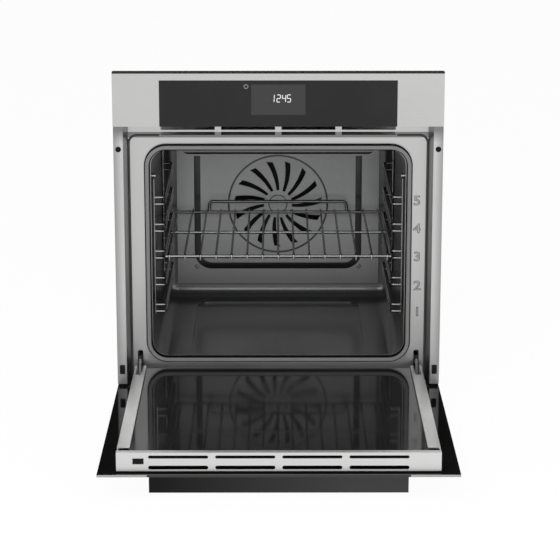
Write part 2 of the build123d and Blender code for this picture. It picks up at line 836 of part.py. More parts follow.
def side_rack(side, name):
    """A wire ladder: two uprights, and five pairs of guide wires that stand in from them."""
    upright_x = side * upright_spread / 2
    guide_x = side * guide_spread / 2
    front_y = cabinet_y + guide_front
    back_y = cabinet_y + guide_rear
    posts = [(upright_x, front_y), (upright_x, back_y)]
    with BuildPart() as rack:
        for level in range(guide_levels):
            for lift in (0, guide_pair):
                z = guide_first + level * guide_pitch + lift
                bent_tube([(upright_x, front_y, z), (guide_x, front_y, z), (guide_x, back_y, z),
                           (upright_x, back_y, z)], guide_bend, guide_wire)
        with BuildSketch(Plane.XY.offset(upright_bottom)):
            with Locations(*posts):
                Circle(guide_wire / 2 + fit_gap)
        extrude(amount=upright_top - upright_bottom, mode=Mode.SUBTRACT)
        with BuildSketch(Plane.XY.offset(upright_bottom)):
            with Locations(*posts):
                Circle(guide_wire / 2)
        extrude(amount=upright_top - upright_bottom)
    keep(rack.part, name)


side_rack(-1, "side_rack_left")
side_rack(1, "side_rack_right")

# Studs on the cavity's side walls that the racks hang under
with BuildPart() as rack_studs:
    stud_z = upright_top + stud_diameter / 2 + running_gap
    for side in (-1, 1):
        with BuildSketch(Plane.YZ.offset(side * half_cavity)):
            with Locations((cabinet_y + guide_front, stud_z), (cabinet_y + guide_rear, stud_z)):
                Circle(stud_diameter / 2)
        extrude(amount=-side * stud_length)
keep(rack_studs.part, "rack_studs")

# Wire shelf on the third level: a bent frame, two cross bars, long wires bent over its front bar,
# and a raised stop along its back
with BuildPart() as wire_shelf:
    shelf_x = guide_spread / 2
    shelf_front_y = cabinet_y + shelf_front
    shelf_rear_y = cabinet_y + shelf_rear
    rear_bar_y = shelf_rear_y - shelf_frame_wire / 2
    bent_tube([(-shelf_x, shelf_rear_y, shelf_z), (-shelf_x, shelf_front_y, shelf_z),
               (shelf_x, shelf_front_y, shelf_z), (shelf_x, shelf_rear_y, shelf_z)],
              shelf_bend, shelf_frame_wire)
    with BuildSketch(Plane.YZ.offset(-shelf_x)):
        with Locations((cabinet_y + shelf_middle, shelf_z), (rear_bar_y, shelf_z)):
            Circle(shelf_frame_wire / 2)
    extrude(amount=2 * shelf_x)
    wire_z = shelf_z + (shelf_frame_wire + shelf_wire) / 2 - shelf_weld
    stub_y = shelf_front_y - (shelf_frame_wire + shelf_wire) / 2 + shelf_weld
    for index in range(shelf_wires):
        x = (index - (shelf_wires - 1) / 2) * shelf_wire_pitch
        bent_tube([(x, shelf_rear_y, wire_z), (x, stub_y, wire_z), (x, stub_y, wire_z - shelf_stub)],
                  shelf_stub_bend, shelf_wire)
    stop_x = backstop_width / 2
    stop_z = shelf_z + backstop_height
    stop_foot = shelf_z + shelf_frame_wire / 2
    bent_tube([(-stop_x, rear_bar_y, stop_foot), (-stop_x, rear_bar_y, stop_z),
               (stop_x, rear_bar_y, stop_z), (stop_x, rear_bar_y, stop_foot)],
              backstop_bend, shelf_frame_wire)
keep(wire_shelf.part, "wire_shelf")

# Casing: base, sides, rear panel and a top cover that steps down behind the control bay
with BuildPart() as base_panel:
    block(-half_casing, half_casing, frame_y, rear_y, 0, casing_sheet)
keep(base_panel.part, "base_panel")


def side_panel(side, name):
    """A side of the casing, stepped like the top cover."""
    outline = [
        (frame_back_y, casing_sheet),
        (rear_y, casing_sheet),
        (rear_y, rear_height - casing_sheet),
        (bay_back_y, rear_height - casing_sheet),
        (bay_back_y, bay_height - casing_sheet),
        (frame_back_y, bay_height - casing_sheet),
    ]
    with BuildPart() as panel:
        with BuildSketch(Plane.YZ.offset(side * side_inner)):
            with BuildLine():
                Polyline(*outline, close=True)
            make_face()
        extrude(amount=side * casing_sheet)
    keep(panel.part, name)


side_panel(-1, "side_panel_left")
side_panel(1, "side_panel_right")

rear_inner_y = rear_y - casing_sheet
with BuildPart() as rear_panel:
    block(-side_inner, side_inner, rear_inner_y, rear_y, casing_sheet, rear_height - casing_sheet)
    with BuildSketch(front_plane(rear_inner_y)):
        with Locations((0, vent_height)):
            with GridLocations(vent_pitch_x, vent_pitch_z, vent_columns, vent_rows):
                SlotOverall(vent_length, vent_slot)
        with Locations((terminal_x, gland_z)):
            Circle(gland_diameter / 2 + fit_gap)
    extrude(amount=-casing_sheet, mode=Mode.SUBTRACT)
keep(rear_panel.part, "rear_panel")

with BuildPart() as top_cover:
    with BuildSketch(Plane.YZ.offset(-half_casing)):
        with BuildLine():
            Polyline(
                (frame_back_y, bay_height),
                (frame_back_y, bay_height - casing_sheet),
                (bay_back_y, bay_height - casing_sheet),
                (bay_back_y, rear_height - casing_sheet),
                (rear_y, rear_height - casing_sheet),
                (rear_y, rear_height),
                (bay_back_y + casing_sheet, rear_height),
                (bay_back_y + casing_sheet, bay_height),
                close=True,
            )
        make_face()
    extrude(amount=casing_width)
keep(top_cover.part, "top_cover")

# Pan-head screws on the top cover and the rear panel
with BuildPart() as casing_screws:
    screw_x = casing_width - 2 * casing_screw_edge
    with BuildSketch(Plane.XY.offset(bay_height)):
        with Locations((0, (frame_back_y + bay_back_y) / 2)):
            with GridLocations(screw_x, bay_depth - 2 * casing_screw_edge, 2, 2):
                Circle(casing_screw_head / 2)
    extrude(amount=casing_screw_height)
    with BuildSketch(front_plane(rear_y)):
        with Locations((0, rear_height / 2)):
            with GridLocations(screw_x, rear_height - 2 * casing_screw_edge, 2, 2):
                Circle(casing_screw_head / 2)
    extrude(amount=-casing_screw_height)
keep(casing_screws.part, "casing_screws")

# Terminal block inside the rear panel, and the gland that a supply lead would enter by
with BuildPart() as terminal_block:
    block(terminal_x - terminal_width / 2, terminal_x + terminal_width / 2,
          rear_inner_y - terminal_depth, rear_inner_y, terminal_z, terminal_z + terminal_height)
keep(terminal_block.part, "terminal_block")

with BuildPart() as cable_gland:
    with BuildSketch(front_plane(rear_y)):
        with Locations((terminal_x, gland_z)):
            Circle(gland_collar / 2)
    extrude(amount=-gland_length)
    with BuildSketch(front_plane(rear_inner_y - gland_length)):
        with Locations((terminal_x, gland_z)):
            Circle(gland_diameter / 2)
    extrude(amount=-(gland_length + casing_sheet))
    with BuildSketch(front_plane(rear_inner_y - gland_length)):
        with Locations((terminal_x, gland_z)):
            Circle(gland_bore / 2)
    extrude(amount=-(2 * gland_length + casing_sheet), mode=Mode.SUBTRACT)
keep(cable_gland.part, "cable_gland")

# Cooling blower on the deck: a box with an inlet at the back and an outlet low at the front
half_blower = blower_width / 2
blower_y = frame_back_y + blower_setback
blower_back_y = blower_y + blower_box_depth
blower_top = deck_top + blower_height
rotor_y = (blower_y + blower_back_y) / 2
rotor_z = deck_top + blower_height / 2
blower_inner_x = half_blower - blower_sheet
with BuildPart() as blower_housing:
    block(-half_blower, half_blower, blower_y, blower_back_y, deck_top, blower_top)
    block(-blower_inner_x, blower_inner_x, blower_y + blower_sheet, blower_back_y - blower_sheet,
          deck_top + blower_sheet, blower_top - blower_sheet, Mode.SUBTRACT)
    block(-blower_inner_x, blower_inner_x, blower_y, blower_y + blower_sheet,
          deck_top + blower_sheet, duct_top - duct_wall, Mode.SUBTRACT)
    block(-blower_inner_x, blower_inner_x, blower_back_y - blower_sheet, blower_back_y,
          blower_top - blower_sheet - inlet_height, blower_top - blower_sheet, Mode.SUBTRACT)
    with BuildSketch(Plane.YZ.offset(-half_blower)):
        with Locations((rotor_y, rotor_z)):
            Circle(rotor_shaft / 2 + running_gap)
    extrude(amount=blower_width, mode=Mode.SUBTRACT)
keep(blower_housing.part, "blower_housing")

# Blower rotor: two discs on a shaft, joined by a ring of blades
with BuildPart() as blower_rotor:
    half_rotor = blower_inner_x - rotor_end_gap
    with BuildSketch(Plane.YZ.offset(-half_rotor)):
        with Locations((rotor_y, rotor_z)):
            Circle(rotor_diameter / 2)
    extrude(amount=rotor_disc)
    with BuildSketch(Plane.YZ.offset(half_rotor)):
        with Locations((rotor_y, rotor_z)):
            Circle(rotor_diameter / 2)
    extrude(amount=-rotor_disc)
    with BuildSketch(Plane.YZ.offset(-half_rotor)):
        with Locations((rotor_y, rotor_z)):
            with PolarLocations((rotor_diameter - rotor_blade_depth) / 2, rotor_blades):
                Rectangle(rotor_blade_depth - rotor_blade_thickness, rotor_blade_thickness)
    extrude(amount=2 * half_rotor)
    with BuildSketch(Plane.YZ.offset(-half_blower)):
        with Locations((rotor_y, rotor_z)):
            Circle(rotor_shaft / 2)
    extrude(amount=blower_width + blower_motor_length / 2)
keep(blower_rotor.part, "blower_rotor")

with BuildPart() as blower_motor:
    with BuildSketch(Plane.YZ.offset(half_blower)):
        with Locations((rotor_y, rotor_z)):
            Circle(blower_motor_diameter / 2)
            Circle(rotor_shaft / 2 + running_gap, mode=Mode.SUBTRACT)
    extrude(amount=blower_motor_length)
keep(blower_motor.part, "blower_motor")

# Air duct: a flat tube that widens from the blower to the louver
def duct_face(y, half_width, low, high):
    """A rectangle of the duct, facing the front."""
    with BuildSketch(front_plane(y)) as face:
        with Locations((0, (low + high) / 2)):
            Rectangle(2 * half_width, high - low)
    return face.sketch


with BuildPart() as air_duct:
    duct_low = duct_bottom + duct_wall
    duct_high = duct_top - duct_wall
    loft([duct_face(blower_y, half_blower, duct_bottom, duct_top),
          duct_face(deck_wall_back_y, mouth_x + duct_wall, duct_bottom, duct_top)])
    loft([duct_face(blower_y, half_blower - duct_wall, duct_low, duct_high),
          duct_face(deck_wall_back_y, mouth_x, duct_low, duct_high)], mode=Mode.SUBTRACT)
keep(air_duct.part, "air_duct")


# Hinges: a box behind the frame takes the arm's tail, and the arm's eye carries the door's pin
def hinge_receiver(side, name):
    """A folded box behind the frame that holds the hinge arm's tail."""
    half_outer = receiver_width / 2
    half_inner = half_outer - receiver_wall
    back_y = frame_back_y + receiver_depth
    x = side * hinge_x
    with BuildPart() as receiver:
        block(x - half_outer, x + half_outer, frame_back_y, back_y, receiver_bottom, receiver_top)
        block(x - half_inner, x + half_inner, frame_back_y, back_y - receiver_wall,
              receiver_bottom + receiver_wall, receiver_top - receiver_wall, Mode.SUBTRACT)
    keep(receiver.part, name)


arm_tail_y = frame_back_y + arm_reach
arm_neck_y = hinge_y + arm_eye
lock_y = frame_y - lock_pivot_back
lock_z = arm_top - lock_pivot_drop


def hinge_arm(side, name):
    """A flat arm from the receiver to the eye on the door's hinge line."""
    receiver_floor = receiver_bottom + receiver_wall
    foot_z = (receiver_floor + arm_bottom) / 2
    outline = [
        (hinge_y, hinge_axis_z - arm_eye / 2),
        (arm_neck_y, arm_bottom),
        (arm_tail_y, arm_bottom),
        (arm_tail_y, arm_top),
        (lock_y - lock_height / 2, arm_top),
        (lock_y - lock_height, arm_top - lock_height),
        (hinge_y - arm_eye / 2, hinge_axis_z),
    ]
    x = side * hinge_x - arm_thickness / 2
    with BuildPart() as arm:
        with BuildSketch(Plane.YZ.offset(x)):
            with BuildLine():
                Polyline(*outline, close=True)
            make_face()
            with Locations((hinge_y, hinge_axis_z)):
                Circle(arm_eye / 2)
            with Locations((frame_back_y + arm_notch, foot_z), (arm_tail_y - arm_notch, foot_z)):
                Rectangle(arm_notch, arm_bottom - receiver_floor)
            with Locations((hinge_y, hinge_axis_z)):
                Circle(hinge_pin / 2 + running_gap, mode=Mode.SUBTRACT)
            with Locations((lock_y, lock_z)):
                Circle(lock_pin / 2 + running_gap, mode=Mode.SUBTRACT)
        extrude(amount=arm_thickness)
    keep(arm.part, name)


def hinge_lock(side, name):
    """A small stirrup on the arm that flips over to hold the hinge open."""
    inner = arm_thickness / 2 + lock_side_gap
    outer = inner + lock_plate
    x = side * hinge_x
    bar_low = arm_top + running_gap
    with BuildPart() as lock:
        for flank in (-1, 1):
            with BuildSketch(Plane.YZ.offset(x + flank * inner)):
                with Locations((lock_y + lock_length / 2, lock_z)):
                    SlotCenterToCenter(lock_length, lock_height)
                with Locations((lock_y + lock_length, (lock_z + bar_low + lock_bar) / 2)):
                    Rectangle(lock_height, bar_low + lock_bar - lock_z)
            extrude(amount=flank * lock_plate)
        block(x - outer, x + outer, lock_y + lock_length - lock_height / 2,
              lock_y + lock_length + lock_height / 2, bar_low, bar_low + lock_bar)
        with BuildSketch(Plane.YZ.offset(x - inner)):
            with Locations((lock_y, lock_z)):
                Circle(lock_pin / 2)
        extrude(amount=2 * inner)
    keep(lock.part, name)


for side, word in ((-1, "left"), (1, "right")):
    hinge_receiver(side, f"hinge_receiver_{word}")
    hinge_arm(side, f"hinge_arm_{word}")
    hinge_lock(side, f"hinge_lock_{word}")

# The door is drawn closed, as it stands in the front, and each piece is then swung open

# Outer glass with two holes for the handle's posts
handle_top = door_glass_top - handle_drop
handle_z = handle_top - handle_height / 2
handle_back_y = door_face_y - handle_gap
with BuildPart() as door_outer_glass:
    block(-half_front, half_front, door_face_y, door_glass_y, door_glass_bottom, door_glass_top)
    with BuildSketch(front_plane(door_face_y)):
        with Locations((-post_spread / 2, handle_z), (post_spread / 2, handle_z)):
            Circle(post_stud / 2 + running_gap)
    extrude(amount=-door_glass, mode=Mode.SUBTRACT)
keep(open_door(door_outer_glass.part), "door_outer_glass")

# Top rail: a channel across the door's whole width, with the cooling slots in its outer face
rail_top = door_body_top - top_rail_height
lip_y = inner_glass_y - door_glass
with BuildPart() as door_top_rail:
    block(-half_body, half_body, door_glass_y, door_inner_y, rail_top, door_body_top)
    block(-half_body, half_body, door_glass_y, door_inner_y - top_rail_wall, rail_top,
          door_body_top - top_rail_wall, Mode.SUBTRACT)
    block(-half_body, half_body, inner_glass_y - door_glass, door_inner_y, rail_top,
          rail_top + top_rail_lip, Mode.SUBTRACT)
    block(-half_body, half_body, lip_y - top_rail_wall, lip_y, rail_top, door_body_top)
    with BuildSketch(Plane.XY.offset(door_body_top)):
        low_y = door_glass_y + door_slot_low + door_slot_low_height / 2
        high_y = door_glass_y + door_slot_high + door_slot_high_height / 2
        with Locations((0, low_y)):
            with GridLocations(slot_pitch, door_slot_low_height, slot_count, 1):
                SlotOverall(slot_length, door_slot_low_height)
        with Locations((0, high_y)):
            with GridLocations(slot_pitch, door_slot_high_height, slot_count, 1):
                SlotOverall(slot_length, door_slot_high_height)
    extrude(amount=-top_rail_wall, mode=Mode.SUBTRACT)
    with BuildSketch(Plane.XY.offset(door_body_top)):
        with Locations((plate_inset_x, door_glass_y + plate_inset_offset)):
            Rectangle(plate_inset_width, plate_inset_height)
    extrude(amount=-plate_inset_depth, mode=Mode.SUBTRACT)
keep(open_door(door_top_rail.part), "door_top_rail")

# Bottom rail: a tube between the side rails, under the inner glass's lower edge
bottom_rail_top = door_body_bottom + bottom_rail_height
with BuildPart() as door_bottom_rail:
    block(-rail_inner_x, rail_inner_x, door_glass_y, lip_y, door_body_bottom, bottom_rail_top)
    block(-rail_inner_x, rail_inner_x, door_glass_y + rail_wall, lip_y - rail_wall,
          door_body_bottom + rail_wall, bottom_rail_top - rail_wall, Mode.SUBTRACT)
keep(open_door(door_bottom_rail.part), "door_bottom_rail")

# Inner and middle panes between the rails
with BuildPart() as door_inner_glass:
    pane_x = rail_inner_x - pane_gap
    block(-pane_x, pane_x, lip_y, inner_glass_y, door_body_bottom, rail_top + top_rail_lip - pane_gap)
keep(open_door(door_inner_glass.part), "door_inner_glass")

with BuildPart() as door_mid_glass:
    mid_x = rail_inner_x - mid_glass_edge
    mid_y = door_glass_y + mid_glass_depth
    block(-mid_x, mid_x, mid_y, mid_y + door_glass, bottom_rail_top,
          door_body_top - top_rail_wall - pane_gap)
keep(open_door(door_mid_glass.part), "door_mid_glass")

# Spring gear in each side rail, on the rail's middle line
rod_y = (door_glass_y + door_inner_y) / 2
spring_start = seat_start + seat_thickness
spring_end = spring_start + spring_length


def door_rail(side, name):
    """A hollow side rail, with a slot at its lower end for the hinge arm and holes for the pin."""
    low_x, high_x = sorted((side * rail_inner_x, side * half_body))
    x = side * hinge_x
    with BuildPart() as rail:
        block(low_x, high_x, door_glass_y, door_inner_y, door_body_bottom, rail_top)
        block(low_x + rail_wall, high_x - rail_wall, door_glass_y + rail_wall,
              door_inner_y - rail_wall, door_body_bottom, rail_top, Mode.SUBTRACT)
        block(x - hinge_slot_width / 2, x + hinge_slot_width / 2, door_inner_y - rail_wall,
              door_inner_y, door_body_bottom, hinge_slot_top, Mode.SUBTRACT)
        with BuildSketch(Plane.YZ.offset(low_x)):
            with Locations((hinge_y, hinge_axis_z)):
                Circle(hinge_pin / 2 + fit_gap)
        extrude(amount=rail_width, mode=Mode.SUBTRACT)
    keep(open_door(rail.part), name)


def hinge_rod(side, name):
    """A spring rod with a head, which slides in its seat as the door swings."""
    with BuildPart() as rod:
        with Locations((side * hinge_x, rod_y, rod_start)):
            Cylinder(rod_diameter / 2, rod_length, align=(Align.CENTER, Align.CENTER, Align.MIN))
        with Locations((side * hinge_x, rod_y, spring_end)):
            Cylinder(rod_head / 2, rod_head_thickness, align=(Align.CENTER, Align.CENTER, Align.MIN))
    keep(open_door(rod.part), name)


for side, word in ((-1, "left"), (1, "right")):
    door_rail(side, f"door_rail_{word}")
    hinge_rod(side, f"hinge_rod_{word}")

with BuildPart() as spring_seats:
    for side in (-1, 1):
        low_x, high_x = sorted((side * (rail_inner_x + rail_wall), side * (half_body - rail_wall)))
        block(low_x, high_x, door_glass_y + rail_wall, door_inner_y - rail_wall, seat_start, spring_start)
        with Locations((side * hinge_x, rod_y, seat_start)):
            Cylinder(rod_diameter / 2 + running_gap, 2 * seat_thickness, mode=Mode.SUBTRACT)
keep(open_door(spring_seats.part), "spring_seats")

# Hinge springs, wound close and drawn as sleeves, shut inside the rails
with BuildPart() as hinge_springs:
    for side in (-1, 1):
        with BuildSketch(Plane.XY.offset(spring_start)):
            with Locations((side * hinge_x, rod_y)):
                Circle(spring_diameter / 2)
                Circle(rod_diameter / 2 + running_gap, mode=Mode.SUBTRACT)
        extrude(amount=spring_length)
keep(open_door(hinge_springs.part), "hinge_springs")

with BuildPart() as hinge_pins:
    for side in (-1, 1):
        low_x = min(side * rail_inner_x, side * half_body)
        with BuildSketch(Plane.YZ.offset(low_x)):
            with Locations((hinge_y, hinge_axis_z)):
                Circle(hinge_pin / 2)
        extrude(amount=rail_width)
keep(open_door(hinge_pins.part), "hinge_pins")

# Handle: a flat bar that stands off the glass on two posts
with BuildPart() as door_handle:
    block(-handle_width / 2, handle_width / 2, handle_back_y - handle_thickness, handle_back_y,
          handle_top - handle_height, handle_top)
    fillet(door_handle.edges().filter_by(Axis.X), handle_round)
keep(open_door(door_handle.part), "door_handle")

with BuildPart() as handle_posts:
    with BuildSketch(front_plane(handle_back_y)):
        with Locations((-post_spread / 2, handle_z), (post_spread / 2, handle_z)):
            Circle(post_diameter / 2)
    extrude(amount=-handle_gap)
    with BuildSketch(front_plane(handle_back_y)):
        with Locations((-post_spread / 2, handle_z), (post_spread / 2, handle_z)):
            Circle(post_stud / 2)
    extrude(amount=-(handle_gap + door_glass + post_washer_thickness))
    with BuildSketch(front_plane(door_glass_y)):
        with Locations((-post_spread / 2, handle_z), (post_spread / 2, handle_z)):
            Circle(post_washer / 2)
    extrude(amount=-post_washer_thickness)
keep(open_door(handle_posts.part), "handle_posts")
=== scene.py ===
from math import radians

import bpy
from mathutils import Matrix, Vector


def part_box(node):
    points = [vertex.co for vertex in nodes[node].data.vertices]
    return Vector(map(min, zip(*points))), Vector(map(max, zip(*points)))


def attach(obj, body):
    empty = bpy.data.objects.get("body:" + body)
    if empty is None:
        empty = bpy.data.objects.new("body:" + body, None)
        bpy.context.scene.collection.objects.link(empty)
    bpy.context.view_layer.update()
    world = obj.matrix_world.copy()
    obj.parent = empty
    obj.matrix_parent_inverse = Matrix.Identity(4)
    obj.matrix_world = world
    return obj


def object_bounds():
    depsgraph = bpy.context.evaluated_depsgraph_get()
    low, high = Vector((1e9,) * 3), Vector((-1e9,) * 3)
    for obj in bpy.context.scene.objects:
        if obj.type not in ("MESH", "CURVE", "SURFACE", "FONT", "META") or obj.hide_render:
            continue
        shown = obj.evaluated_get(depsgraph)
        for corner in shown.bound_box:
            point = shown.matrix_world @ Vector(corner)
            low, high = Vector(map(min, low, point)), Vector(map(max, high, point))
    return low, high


# A wall oven with its door open: finishes for the solids, and the small printed and fitted pieces.
# All lengths are in metres. X runs to the right, Y into the cabinet, Z up.

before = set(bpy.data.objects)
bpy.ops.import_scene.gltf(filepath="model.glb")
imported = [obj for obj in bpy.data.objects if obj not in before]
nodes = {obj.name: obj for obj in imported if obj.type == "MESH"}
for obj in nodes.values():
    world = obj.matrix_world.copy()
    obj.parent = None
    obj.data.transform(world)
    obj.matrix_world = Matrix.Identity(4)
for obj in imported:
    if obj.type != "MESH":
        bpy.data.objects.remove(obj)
cad_low, cad_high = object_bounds()
bpy.ops.object.select_all(action="DESELECT")


def grey(value):
    """A neutral colour of that brightness."""
    return (value, value, value, 1.0)


def warm(value, tint=0.03):
    """A grey that leans a little towards yellow."""
    return (value * (1 + tint), value, value * (1 - 1.5 * tint), 1.0)


# Shader helpers

def place(tree, kind, **settings):
    """Add a shader node and set its properties."""
    node = tree.nodes.new(kind)
    for name, value in settings.items():
        setattr(node, name, value)
    return node


def feed(tree, socket, value):
    """Link an output into a socket, or set a plain value on it."""
    if isinstance(value, bpy.types.NodeSocket):
        tree.links.new(value, socket)
    else:
        socket.default_value = value


def sums(tree, operation, first, second=0.0, third=0.0):
    """A math node on up to three values."""
    node = place(tree, "ShaderNodeMath", operation=operation)
    for socket, value in zip(node.inputs, (first, second, third)):
        feed(tree, socket, value)
    return node.outputs[0]


def spread(tree, value, low, high, start=0.0, end=1.0):
    """Move a value from one range to another."""
    node = place(tree, "ShaderNodeMapRange")
    for name, entry in (("Value", value), ("From Min", start), ("From Max", end),
                        ("To Min", low), ("To Max", high)):
        feed(tree, node.inputs[name], entry)
    return node.outputs["Result"]


def blend_colours(tree, factor, first, second):
    """A colour between two others."""
    node = place(tree, "ShaderNodeMix", data_type="RGBA")
    feed(tree, node.inputs["Factor"], factor)
    feed(tree, node.inputs[6], first)
    feed(tree, node.inputs[7], second)
    return node.outputs[2]


def object_place(tree):
    """The place on the piece, in metres."""
    return place(tree, "ShaderNodeTexCoord").outputs["Object"]


def axes_of(tree, vector):
    """The X, Y and Z of a vector."""
    node = place(tree, "ShaderNodeSeparateXYZ")
    feed(tree, node.inputs[0], vector)
    return node.outputs


def facing_of(tree):
    """The X, Y and Z of the way that the surface faces."""
    return axes_of(tree, place(tree, "ShaderNodeTexCoord").outputs["Normal"])


def stretched(tree, vector, scale):
    """A place scaled by its own amount along each axis."""
    node = place(tree, "ShaderNodeVectorMath", operation="MULTIPLY")
    feed(tree, node.inputs[0], vector)
    feed(tree, node.inputs[1], scale)
    return node.outputs[0]


def noise(tree, vector, scale, detail=2.0, roughness=0.5):
    """Smooth noise between 0 and 1."""
    node = place(tree, "ShaderNodeTexNoise")
    feed(tree, node.inputs["Vector"], vector)
    for name, value in (("Scale", scale), ("Detail", detail), ("Roughness", roughness)):
        feed(tree, node.inputs[name], value)
    return node.outputs["Fac"]


def relief(tree, height, strength, distance):
    """A normal that follows a height."""
    node = place(tree, "ShaderNodeBump")
    for name, value in (("Height", height), ("Strength", strength), ("Distance", distance)):
        feed(tree, node.inputs[name], value)
    return node.outputs["Normal"]


def new_group(name, inputs, outputs):
    """A shader node group with named inputs and outputs."""
    group = bpy.data.node_groups.new(name, "ShaderNodeTree")
    for label, kind, value in inputs:
        group.interface.new_socket(label, in_out="INPUT", socket_type=kind).default_value = value
    for label, kind in outputs:
        group.interface.new_socket(label, in_out="OUTPUT", socket_type=kind)
    return group, group.nodes.new("NodeGroupInput"), group.nodes.new("NodeGroupOutput")


def use_group(tree, group, **values):
    """Place a node group with its own values, and give back its outputs."""
    node = place(tree, "ShaderNodeGroup", node_tree=group)
    for label, value in values.items():
        feed(tree, node.inputs[label], value)
    return node.outputs


VALUE = "NodeSocketFloat"
VECTOR = "NodeSocketVector"

# Brushed grain: fine streaks along one axis, and slow clouds over them
brushed, entry, leave = new_group("brushed_grain", [("Stretch", VECTOR, (20.0, 900.0, 900.0))],
                                  [("Streaks", VALUE), ("Clouds", VALUE)])
streak_place = stretched(brushed, object_place(brushed), entry.outputs["Stretch"])
feed(brushed, leave.inputs["Streaks"],
     noise(brushed, streak_place, scale=1.0, detail=4.0, roughness=0.65))
feed(brushed, leave.inputs["Clouds"], noise(brushed, object_place(brushed), scale=7.0, detail=3.0))

# Smudges: faint wiped marks that change how sharp a polished surface reflects
smudged, entry, leave = new_group("smudges", [("Size", VALUE, 9.0)], [("Marks", VALUE)])
soft_marks = noise(smudged, object_place(smudged), entry.outputs["Size"], detail=5.0, roughness=0.6)
feed(smudged, leave.inputs["Marks"], spread(smudged, soft_marks, 0.0, 1.0, start=0.42, end=0.72))

# Speckle: tiny pale dots, as fired into enamel
speckled, entry, leave = new_group("speckle", [("Fineness", VALUE, 900.0), ("Dot", VALUE, 0.16)],
                                   [("Dots", VALUE)])
cells = place(speckled, "ShaderNodeTexVoronoi")
feed(speckled, cells.inputs["Vector"], object_place(speckled))
feed(speckled, cells.inputs["Scale"], entry.outputs["Fineness"])
near = sums(speckled, "LESS_THAN", cells.outputs["Distance"], entry.outputs["Dot"])
tone = place(speckled, "ShaderNodeSeparateColor")
feed(speckled, tone.inputs[0], cells.outputs["Color"])
feed(speckled, leave.inputs["Dots"], sums(speckled, "MULTIPLY", near, tone.outputs[0]))

# Spangle: the flat crystals of a zinc coat
spangled, entry, leave = new_group("spangle", [("Fineness", VALUE, 110.0)], [("Crystals", VALUE)])
crystals = place(spangled, "ShaderNodeTexVoronoi")
feed(spangled, crystals.inputs["Vector"], object_place(spangled))
feed(spangled, crystals.inputs["Scale"], entry.outputs["Fineness"])
shade = place(spangled, "ShaderNodeSeparateColor")
feed(spangled, shade.inputs[0], crystals.outputs["Color"])
feed(spangled, leave.inputs["Crystals"], shade.outputs[1])

# Pebble: the fine moulded skin of plastic
pebbled, entry, leave = new_group("pebble", [("Fineness", VALUE, 2200.0)], [("Skin", VALUE)])
feed(pebbled, leave.inputs["Skin"],
     noise(pebbled, object_place(pebbled), entry.outputs["Fineness"], detail=2.0))


def new_finish(name, **constants):
    """A material with a Principled shader whose plain values are set on its sockets."""
    material = bpy.data.materials.new(name)
    material.use_nodes = True
    tree = material.node_tree
    tree.nodes.clear()
    shader = place(tree, "ShaderNodeBsdfPrincipled")
    output = place(tree, "ShaderNodeOutputMaterial")
    tree.links.new(shader.outputs["BSDF"], output.inputs["Surface"])
    for label, value in constants.items():
        shader.inputs[label.replace("_", " ")].default_value = value
    return material, tree, shader


def mixed(tree, first, share, second):
    """Two values added up, the first with that share and the second with the rest."""
    return sums(tree, "MULTIPLY_ADD", first, share, sums(tree, "MULTIPLY", second, 1.0 - share))


def brushed_steel(name, stretch, dark, light, smooth, rough, depth, fades=()):
    """Steel with a fine grain along one axis.

    Each fade is an axis, whether both sides count, where it starts and ends, and its brightness there.
    """
    material, tree, shader = new_finish(name, Metallic=1.0)
    grain = use_group(tree, brushed, Stretch=stretch)
    tone = mixed(tree, grain["Streaks"], 0.6, grain["Clouds"])
    colour = blend_colours(tree, tone, warm(dark, tint=0.004), warm(light, tint=0.004))
    axes = axes_of(tree, object_place(tree))
    for axis, both_sides, start, end, faded in fades:
        distance = axes[axis]
        if both_sides:
            distance = sums(tree, "ABSOLUTE", distance)
        colour = blend_colours(tree, spread(tree, distance, 0.0, 1.0, start, end), colour, grey(faded))
    feed(tree, shader.inputs["Base Color"], colour)
    feed(tree, shader.inputs["Roughness"], spread(tree, tone, smooth, rough, start=0.25, end=0.75))
    feed(tree, shader.inputs["Normal"], relief(tree, grain["Streaks"], depth, distance=0.0002))
    return material


def plain_metal(name, dark, light, smooth, rough, fineness):
    """Metal with a faint mottle."""
    material, tree, shader = new_finish(name, Metallic=1.0)
    mottle = noise(tree, object_place(tree), fineness, detail=4.0)
    feed(tree, shader.inputs["Base Color"], blend_colours(tree, mottle, grey(dark), grey(light)))
    feed(tree, shader.inputs["Roughness"], spread(tree, mottle, smooth, rough, start=0.3, end=0.7))
    feed(tree, shader.inputs["Normal"], relief(tree, mottle, strength=0.08, distance=0.0002))
    return material


def galvanised_sheet(name, dark, light, smooth, rough):
    """Zinc-coated sheet with its crystal pattern."""
    material, tree, shader = new_finish(name, Metallic=1.0)
    crystal = use_group(tree, spangled, Fineness=85.0)["Crystals"]
    tone = mixed(tree, crystal, 0.45, noise(tree, object_place(tree), scale=9.0, detail=4.0))
    feed(tree, shader.inputs["Base Color"], blend_colours(tree, tone, grey(dark), grey(light)))
    feed(tree, shader.inputs["Roughness"], spread(tree, tone, smooth, rough))
    return material


def moulded_plastic(name, dark, light, rough, gloss=0.5):
    """Dark moulded plastic with a fine skin."""
    material, tree, shader = new_finish(name, Specular_IOR_Level=gloss)
    skin = use_group(tree, pebbled)["Skin"]
    uneven = 0.08
    feed(tree, shader.inputs["Base Color"], blend_colours(tree, skin, grey(dark), grey(light)))
    feed(tree, shader.inputs["Roughness"], spread(tree, skin, rough - uneven, rough + uneven))
    feed(tree, shader.inputs["Normal"], relief(tree, skin, strength=0.25, distance=0.0001))
    return material


def within(tree, value, low, high):
    """1 where a value lies between two limits."""
    above = sums(tree, "GREATER_THAN", value, low)
    return sums(tree, "MULTIPLY", above, sums(tree, "LESS_THAN", value, high))


def panel_mask(tree, across, along, x_limits, limits):
    """1 inside a rectangle of the piece."""
    return sums(tree, "MULTIPLY", within(tree, across, *x_limits), within(tree, along, *limits))


